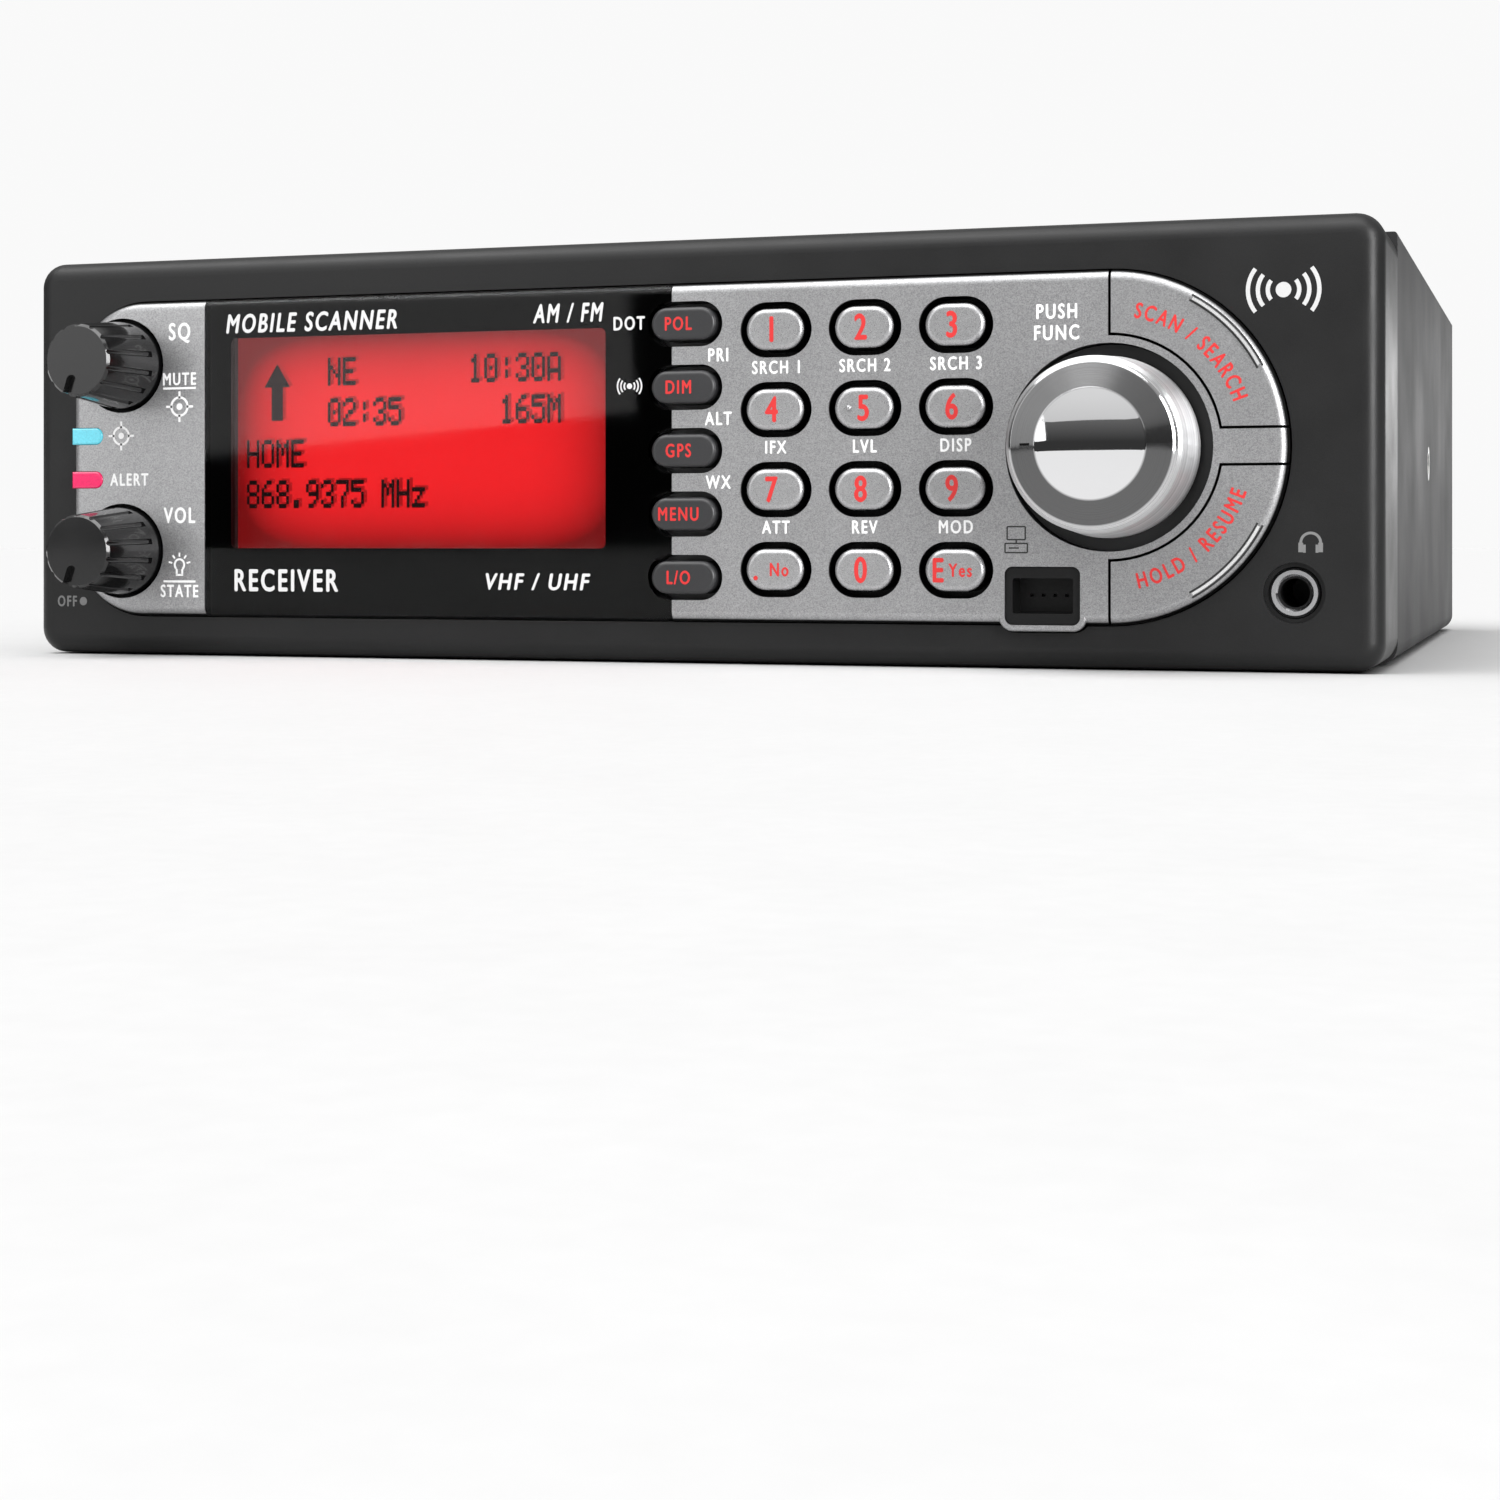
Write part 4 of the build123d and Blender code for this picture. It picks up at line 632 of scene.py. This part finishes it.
def lens_legends(ink):
    """Words printed round the display."""
    low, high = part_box("display_lens")
    layer = Print(low.y)
    layer.text("MOBILE SCANNER", low.x + 16.5 * MM, high.z - 3.5 * MM, 2.5 * MM, 26.2 * MM, SLANT)
    layer.text("AM / FM", high.x - 14.6 * MM, high.z - 3.4 * MM, 2.4 * MM, 10.0 * MM, SLANT)
    layer.text("RECEIVER", low.x + 12.7 * MM, low.z + 5.05 * MM, 2.9 * MM, 15.9 * MM)
    layer.text("VHF / UHF", high.x - 19.0 * MM, low.z + 5.05 * MM, 2.1 * MM, 15.0 * MM, SLANT)
    top_key = middle("function_key_1")
    layer.text("DOT", top_key.x - 7.85 * MM, top_key.z + 0.3 * MM, 1.7 * MM)
    wave_mark(layer, top_key.x - 7.8 * MM, middle("function_key_2").z + 0.3 * MM, 3.4 * MM)
    layer.piece("lens_legends", ink, "radio")


def bezel_legends(ink):
    """Grey signs on the bezel."""
    layer = Print(front("front_bezel"))
    volume, jack = middle("volume_knob"), middle("headphone_jack")
    layer.text("OFF", volume.x - 9.9 * MM, volume.z - 7.2 * MM, 1.46 * MM)
    layer.disc(volume.x - 7.25 * MM, volume.z - 7.2 * MM, 0.6 * MM)
    headphone_mark(layer, jack.x + 1.95 * MM, jack.z + 6.3 * MM, 3.3 * MM)
    layer.piece("bezel_legends", ink, "radio")


def bezel_sign(ink):
    """Plain radio wave sign in the bezel's top right corner."""
    layer = Print(front("front_bezel"))
    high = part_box("front_bezel")[1]
    wave_mark(layer, high.x - 12.0 * MM, high.z - 9.3 * MM, 8.6 * MM)
    layer.piece("bezel_sign", ink, "radio")


def data_sign(ink):
    """Computer sign over the data jack."""
    layer = Print(front("control_panel"))
    jack = middle("front_data_jack")
    computer_mark(layer, jack.x - 3.3 * MM, jack.z + 7.0 * MM, 3.4 * MM)
    layer.piece("data_sign", ink, "radio")


def key_legends(ink):
    """A numeral or word on each key."""
    for number in range(10):
        key = "key_%d" % number
        layer = Print(front("key_1"))
        place = middle(key)
        layer.text(str(number), place.x - 0.35 * MM * (number != 5), place.z, 3.15 * MM)
        layer.piece(key + "_legend", ink, key)
    place = middle("key_dot")
    layer = Print(front("key_dot"))
    layer.disc(place.x - 2.5 * MM, place.z - 1.1 * MM, 0.3 * MM)
    layer.text("No", place.x + 0.7 * MM, place.z, 1.65 * MM)
    layer.piece("key_dot_legend", ink, "key_dot")
    place = middle("key_enter")
    layer = Print(front("key_enter"))
    layer.text("E", place.x - 2.1 * MM, place.z, 2.93 * MM)
    layer.text("Yes", place.x + 0.75 * MM, place.z, 1.6 * MM)
    layer.piece("key_enter_legend", ink, "key_enter")
    for number, words in enumerate(("POL", "DIM", "GPS", "MENU", "L/O")):
        key = "function_key_%d" % (number + 1)
        place = middle(key)
        layer = Print(front(key))
        layer.text(words, place.x - 0.6 * MM, place.z, 1.68 * MM)
        layer.piece(key + "_legend", ink, key)


def arc_legend(words, key, radius, start, end, ink):
    """Words along an arc round the dial, printed on a button."""
    dial = middle("function_knob")
    layer = Print(front("control_panel"))
    layer.bent_text(words, dial.x, dial.z, 1.85 * MM, radius, start, end)
    layer.piece(key + "_legend", ink, key)


def grip_lines(key, side, highlight, outline):
    """Painted highlight on the top of a button's curved grip and painted shade in a dark outline round it.  side is 1
    over the dial and -1 under it.
    """
    dial = middle("function_knob")
    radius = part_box("control_panel")[1].x - dial.x - GRIP_INSET
    start, end = (GRIP_START, GRIP_END) if side > 0 else (-GRIP_END, -GRIP_START)
    # Painted highlight: a bright line along the grip's top.
    top = Print(front(key))
    top.arc(dial.x, dial.z, radius, 0.32 * MM, start, end, 24)
    top.piece(key + "_grip_painted_highlight", highlight, key)
    # Painted shade: a dark line on either side of the grip.
    around = Print(front("control_panel"))
    for shift in (-0.36 * MM, 0.36 * MM):
        around.arc(dial.x, dial.z, radius + shift, 0.24 * MM, start - 0.8, end + 0.8, 24)
    around.piece(key + "_grip_painted_shade", outline, key)


# ---------------------------------------------------------------- display dots

GLYPHS = {
    "0": ".###. #...# #...# #.#.# #...# #...# .###.",
    "1": "..#.. .##.. ..#.. ..#.. ..#.. ..#.. .###.",
    "2": ".###. #...# ....# ..##. .#... #.... #####",
    "3": ".###. #...# ....# ..##. ....# #...# .###.",
    "5": "##### #.... ####. ....# ....# #...# .###.",
    "6": "..##. .#... #.... ####. #...# #...# .###.",
    "7": "##### ....# ....# ...#. ..#.. ..#.. ..#..",
    "8": ".###. #...# #...# .###. #...# #...# .###.",
    "9": ".###. #...# #...# .#### ....# ...#. .##..",
    ":": "..... ..#.. ..#.. ..... ..#.. ..#.. .....",
    ".": "..... ..... ..... ..... ..... .##.. .##..",
    "A": ".###. #...# #...# #...# ##### #...# #...#",
    "E": "##### #.... #.... ####. #.... #.... #####",
    "H": "#...# #...# #...# ##### #...# #...# #...#",
    "M": "#...# ##.## #.#.# #.#.# #...# #...# #...#",
    "N": "#...# #...# ##..# #.#.# #..## #...# #...#",
    "O": ".###. #...# #...# #...# #...# #...# .###.",
    "z": "..... ..... ##### ...#. ..#.. .#... #####",
}
GLYPH_ROWS = 7
CELL_COLUMNS = 6


def display_words():
    """Words on the display with the left edge, from the window's left, and their row."""
    end = 48.6 * MM
    cell = CELL_COLUMNS * DOT_WIDTH
    gap = DOT_WIDTH
    return (
        ("NE", 13.5 * MM, 3),
        ("10:30A", end - 6 * cell + gap, 3),
        ("02:35", 13.5 * MM, 2),
        ("165M", end - 4 * cell + gap, 2),
        ("HOME", 0.76 * MM, 1),
        ("868.9375 MHz", 0.76 * MM, 0),
    )


def display_layer(y, shift_x, shift_z, grow):
    """All lit-out dots of the display in one printed layer."""
    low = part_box("lcd_glass")[0]
    left = low.x + GLASS_MARGIN + shift_x
    bottom = low.z + GLASS_MARGIN + shift_z
    layer = Print(y, depth=0.01 * MM, sink=0)
    half_x = DOT_WIDTH * DOT_FILL * grow / 2
    half_z = DOT_HEIGHT * DOT_FILL * grow / 2
    for words, start, row in display_words():
        middle_z = bottom + FIRST_ROW + row * ROW_PITCH
        for number, letter in enumerate(words):
            if letter == " ":
                continue
            for line, dots in enumerate(GLYPHS[letter].split()):
                for column, dot in enumerate(dots):
                    if dot != "#":
                        continue
                    x = left + start + (number * CELL_COLUMNS + column + 0.5) * DOT_WIDTH
                    z = middle_z + ((GLYPH_ROWS - 1) / 2 - line) * DOT_HEIGHT
                    layer.plate([
                        (x - half_x, z - half_z), (x + half_x, z - half_z),
                        (x + half_x, z + half_z), (x - half_x, z + half_z)])
    add_arrow(layer, left + 5.55 * MM, bottom + 21.9 * MM)
    return layer


def add_arrow(layer, x, z):
    """Upward arrow."""
    half, neck, stem = 2.05 * MM, 0.9 * MM, 4.0 * MM
    head = 3.3 * MM
    layer.plate([
        (x, z + stem), (x - half, z + stem - head), (x - neck, z + stem - head), (x - neck, z - stem),
        (x + neck, z - stem), (x + neck, z + stem - head), (x + half, z + stem - head)])


def make_display(ink, shade):
    """The display's dots and the soft shadow that they cast on the lit layer behind."""
    glass = front("lcd_glass")
    display_layer(glass - 0.05 * MM, 0, 0, 1.0).piece("display_dots", ink, "radio")
    display_layer(glass - 0.01 * MM, 0.45 * MM, 0.22 * MM, 1.06).piece("display_shadow", shade, "radio")


# ---------------------------------------------------------------- studio

def make_floor():
    """Wide pale floor."""
    mesh = bmesh.new()
    bmesh.ops.create_circle(mesh, cap_ends=True, segments=96, radius=FLOOR_RADIUS)
    data = bpy.data.meshes.new("floor")
    mesh.to_mesh(data)
    mesh.free()
    data.materials.append(finish(
        "floor_pale", (0.86, 0.86, 0.86), 0.75, grain=2 * MM, texture=0.02, uneven=0.01, specular=0.2))
    floor = bpy.data.objects.new("floor", data)
    floor.location.z = -FLOOR_DROP
    SCENE.collection.objects.link(floor)
    floor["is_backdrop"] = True


def area_light(name, place, target, width, height, power, lit, roll=0.0):
    """Soft rectangular light that the camera doesn't see, and that lights only some pieces."""
    data = bpy.data.lights.new(name, "AREA")
    data.shape = "RECTANGLE"
    data.size = width
    data.size_y = height
    data.energy = power
    light = bpy.data.objects.new(name, data)
    light.location = place
    aim = (Vector(target) - Vector(place)).to_track_quat("-Z", "Y")
    light.rotation_euler = (aim @ Quaternion((0, 0, 1), math.radians(roll))).to_euler()
    light.visible_camera = False
    light.light_linking.receiver_collection = lit
    SCENE.collection.objects.link(light)


def make_lights():
    """Cards and strips that light the object, and a broad soft sun for it and the floor."""
    lit = bpy.data.collections.new("lit_pieces")
    for piece in SCENE.objects:
        if piece.type == "MESH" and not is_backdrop(piece):
            lit.objects.link(piece)
    area_light("top_strip", (-0.05, -0.30, 0.62), (0, -0.06, 0.03), 1.0, 0.14, 1.5, lit)
    area_light("lens_card", (-0.50, -0.62, 0.24), (-0.50, 0, 0.24), 0.56, 0.40, 1.05, lit, CARD_TILT)
    area_light("dial_card", (0.05, -0.62, 0.31), (0.05, 0, 0.31), 0.54, 0.36, 0.34, lit)
    area_light("right_strip", (0.50, -0.40, 0.16), (0.08, -0.06, 0.03), 0.20, 0.40, 4.0, lit)
    area_light("rear_card", (0.30, 0.62, 0.07), (0.0945, 0, 0.03), 0.16, 0.06, 0.2, lit)
    sun = bpy.data.lights.new("sky_sun", "SUN")
    sun.energy = 2.4
    sun.angle = math.radians(70)
    lamp = bpy.data.objects.new("sky_sun", sun)
    lamp.rotation_euler = (math.radians(20), math.radians(-12), 0)
    SCENE.collection.objects.link(lamp)


def make_world():
    """White behind the object, and a grey sky for its light and reflections."""
    world = bpy.data.worlds.new("studio")
    world.use_nodes = True
    tree = world.node_tree
    sky = tree.nodes["Background"]
    direction = tree.nodes.new("ShaderNodeTexCoord").outputs["Generated"]
    split = tree.nodes.new("ShaderNodeSeparateXYZ")
    tree.links.new(direction, split.inputs["Vector"])
    grey = spread(tree, split.outputs["Z"], 0.04, 0.55, 0.05, 0.7)
    tree.links.new(tint(tree, (1.0, 1.0, 1.0), grey), sky.inputs["Color"])
    white = tree.nodes.new("ShaderNodeBackground")
    white.inputs["Color"].default_value = (FAR_FLOOR, FAR_FLOOR, FAR_FLOOR, 1)
    rays = tree.nodes.new("ShaderNodeLightPath")
    mix = tree.nodes.new("ShaderNodeMixShader")
    tree.links.new(rays.outputs["Is Camera Ray"], mix.inputs["Fac"])
    tree.links.new(sky.outputs["Background"], mix.inputs[1])
    tree.links.new(white.outputs["Background"], mix.inputs[2])
    tree.links.new(mix.outputs["Shader"], tree.nodes["World Output"].inputs["Surface"])
    SCENE.world = world


def make_camera():
    """Camera low and to the right of the object, nearly level."""
    data = bpy.data.cameras.new("camera")
    data.lens = 60.44
    data.shift_y = -0.14
    data.clip_start = 0.01
    camera = bpy.data.objects.new("camera", data)
    camera.location = (0.1171, -0.3960, 0.0159)
    camera.rotation_euler = (math.radians(90.04), 0, math.radians(18.28))
    SCENE.collection.objects.link(camera)
    SCENE.camera = camera
    SCENE.view_settings.view_transform = "Standard"


# ---------------------------------------------------------------- the scene

make_camera()
make_world()
make_floor()
dress_nodes(make_finishes())

white_ink = printing_ink("ink_white", (0.78, 0.78, 0.78))
lens_ink = printing_ink("ink_lens", (0.62, 0.62, 0.62))
grey_ink = printing_ink("ink_grey", (0.16, 0.16, 0.16))
pale_ink = printing_ink("ink_pale", (0.50, 0.50, 0.50), 0.45)
# Dark ink for the computer sign, also used as painted shade round the grips.
dark_ink_and_painted_shade = printing_ink("ink_dark_and_painted_shade", (0.02, 0.02, 0.02))
# Painted highlight for the grips' tops.
grip_highlight_ink = printing_ink("ink_grip_highlight", (0.80, 0.80, 0.80), 0.25, metallic=0.6)
red_ink = printing_ink("ink_red", (0.52, 0.018, 0.018), 0.45, glow=(0.7, 0.03, 0.03), glow_strength=0.08)
display_ink = finish(
    "display_ink", (0.012, 0.001, 0.001), 0.6, grain=0.1 * MM, texture=0.02, uneven=0.05, specular=0.1)
display_shade = finish(
    "display_shade", (0.02, 0.001, 0.001), 0.7, grain=0.2 * MM, texture=0.02, specular=0.1,
    glow=(0.42, 0.006, 0.008), glow_strength=1.0)

panel_legends(white_ink)
lens_legends(lens_ink)
bezel_legends(grey_ink)
bezel_sign(pale_ink)
data_sign(dark_ink_and_painted_shade)
key_legends(red_ink)
arc_legend("SCAN / SEARCH", "scan_button", 17.3 * MM, 78.5, 19.5, red_ink)
arc_legend("HOLD / RESUME", "hold_button", 17.0 * MM, -77.5, -18.5, red_ink)
# Painted highlight on each grip's top and painted shade round it.
grip_lines("scan_button", 1, grip_highlight_ink, dark_ink_and_painted_shade)
grip_lines("hold_button", -1, grip_highlight_ink, dark_ink_and_painted_shade)
make_display(display_ink, display_shade)
# Last, because the area lights are linked to the pieces that exist by then.
make_lights()
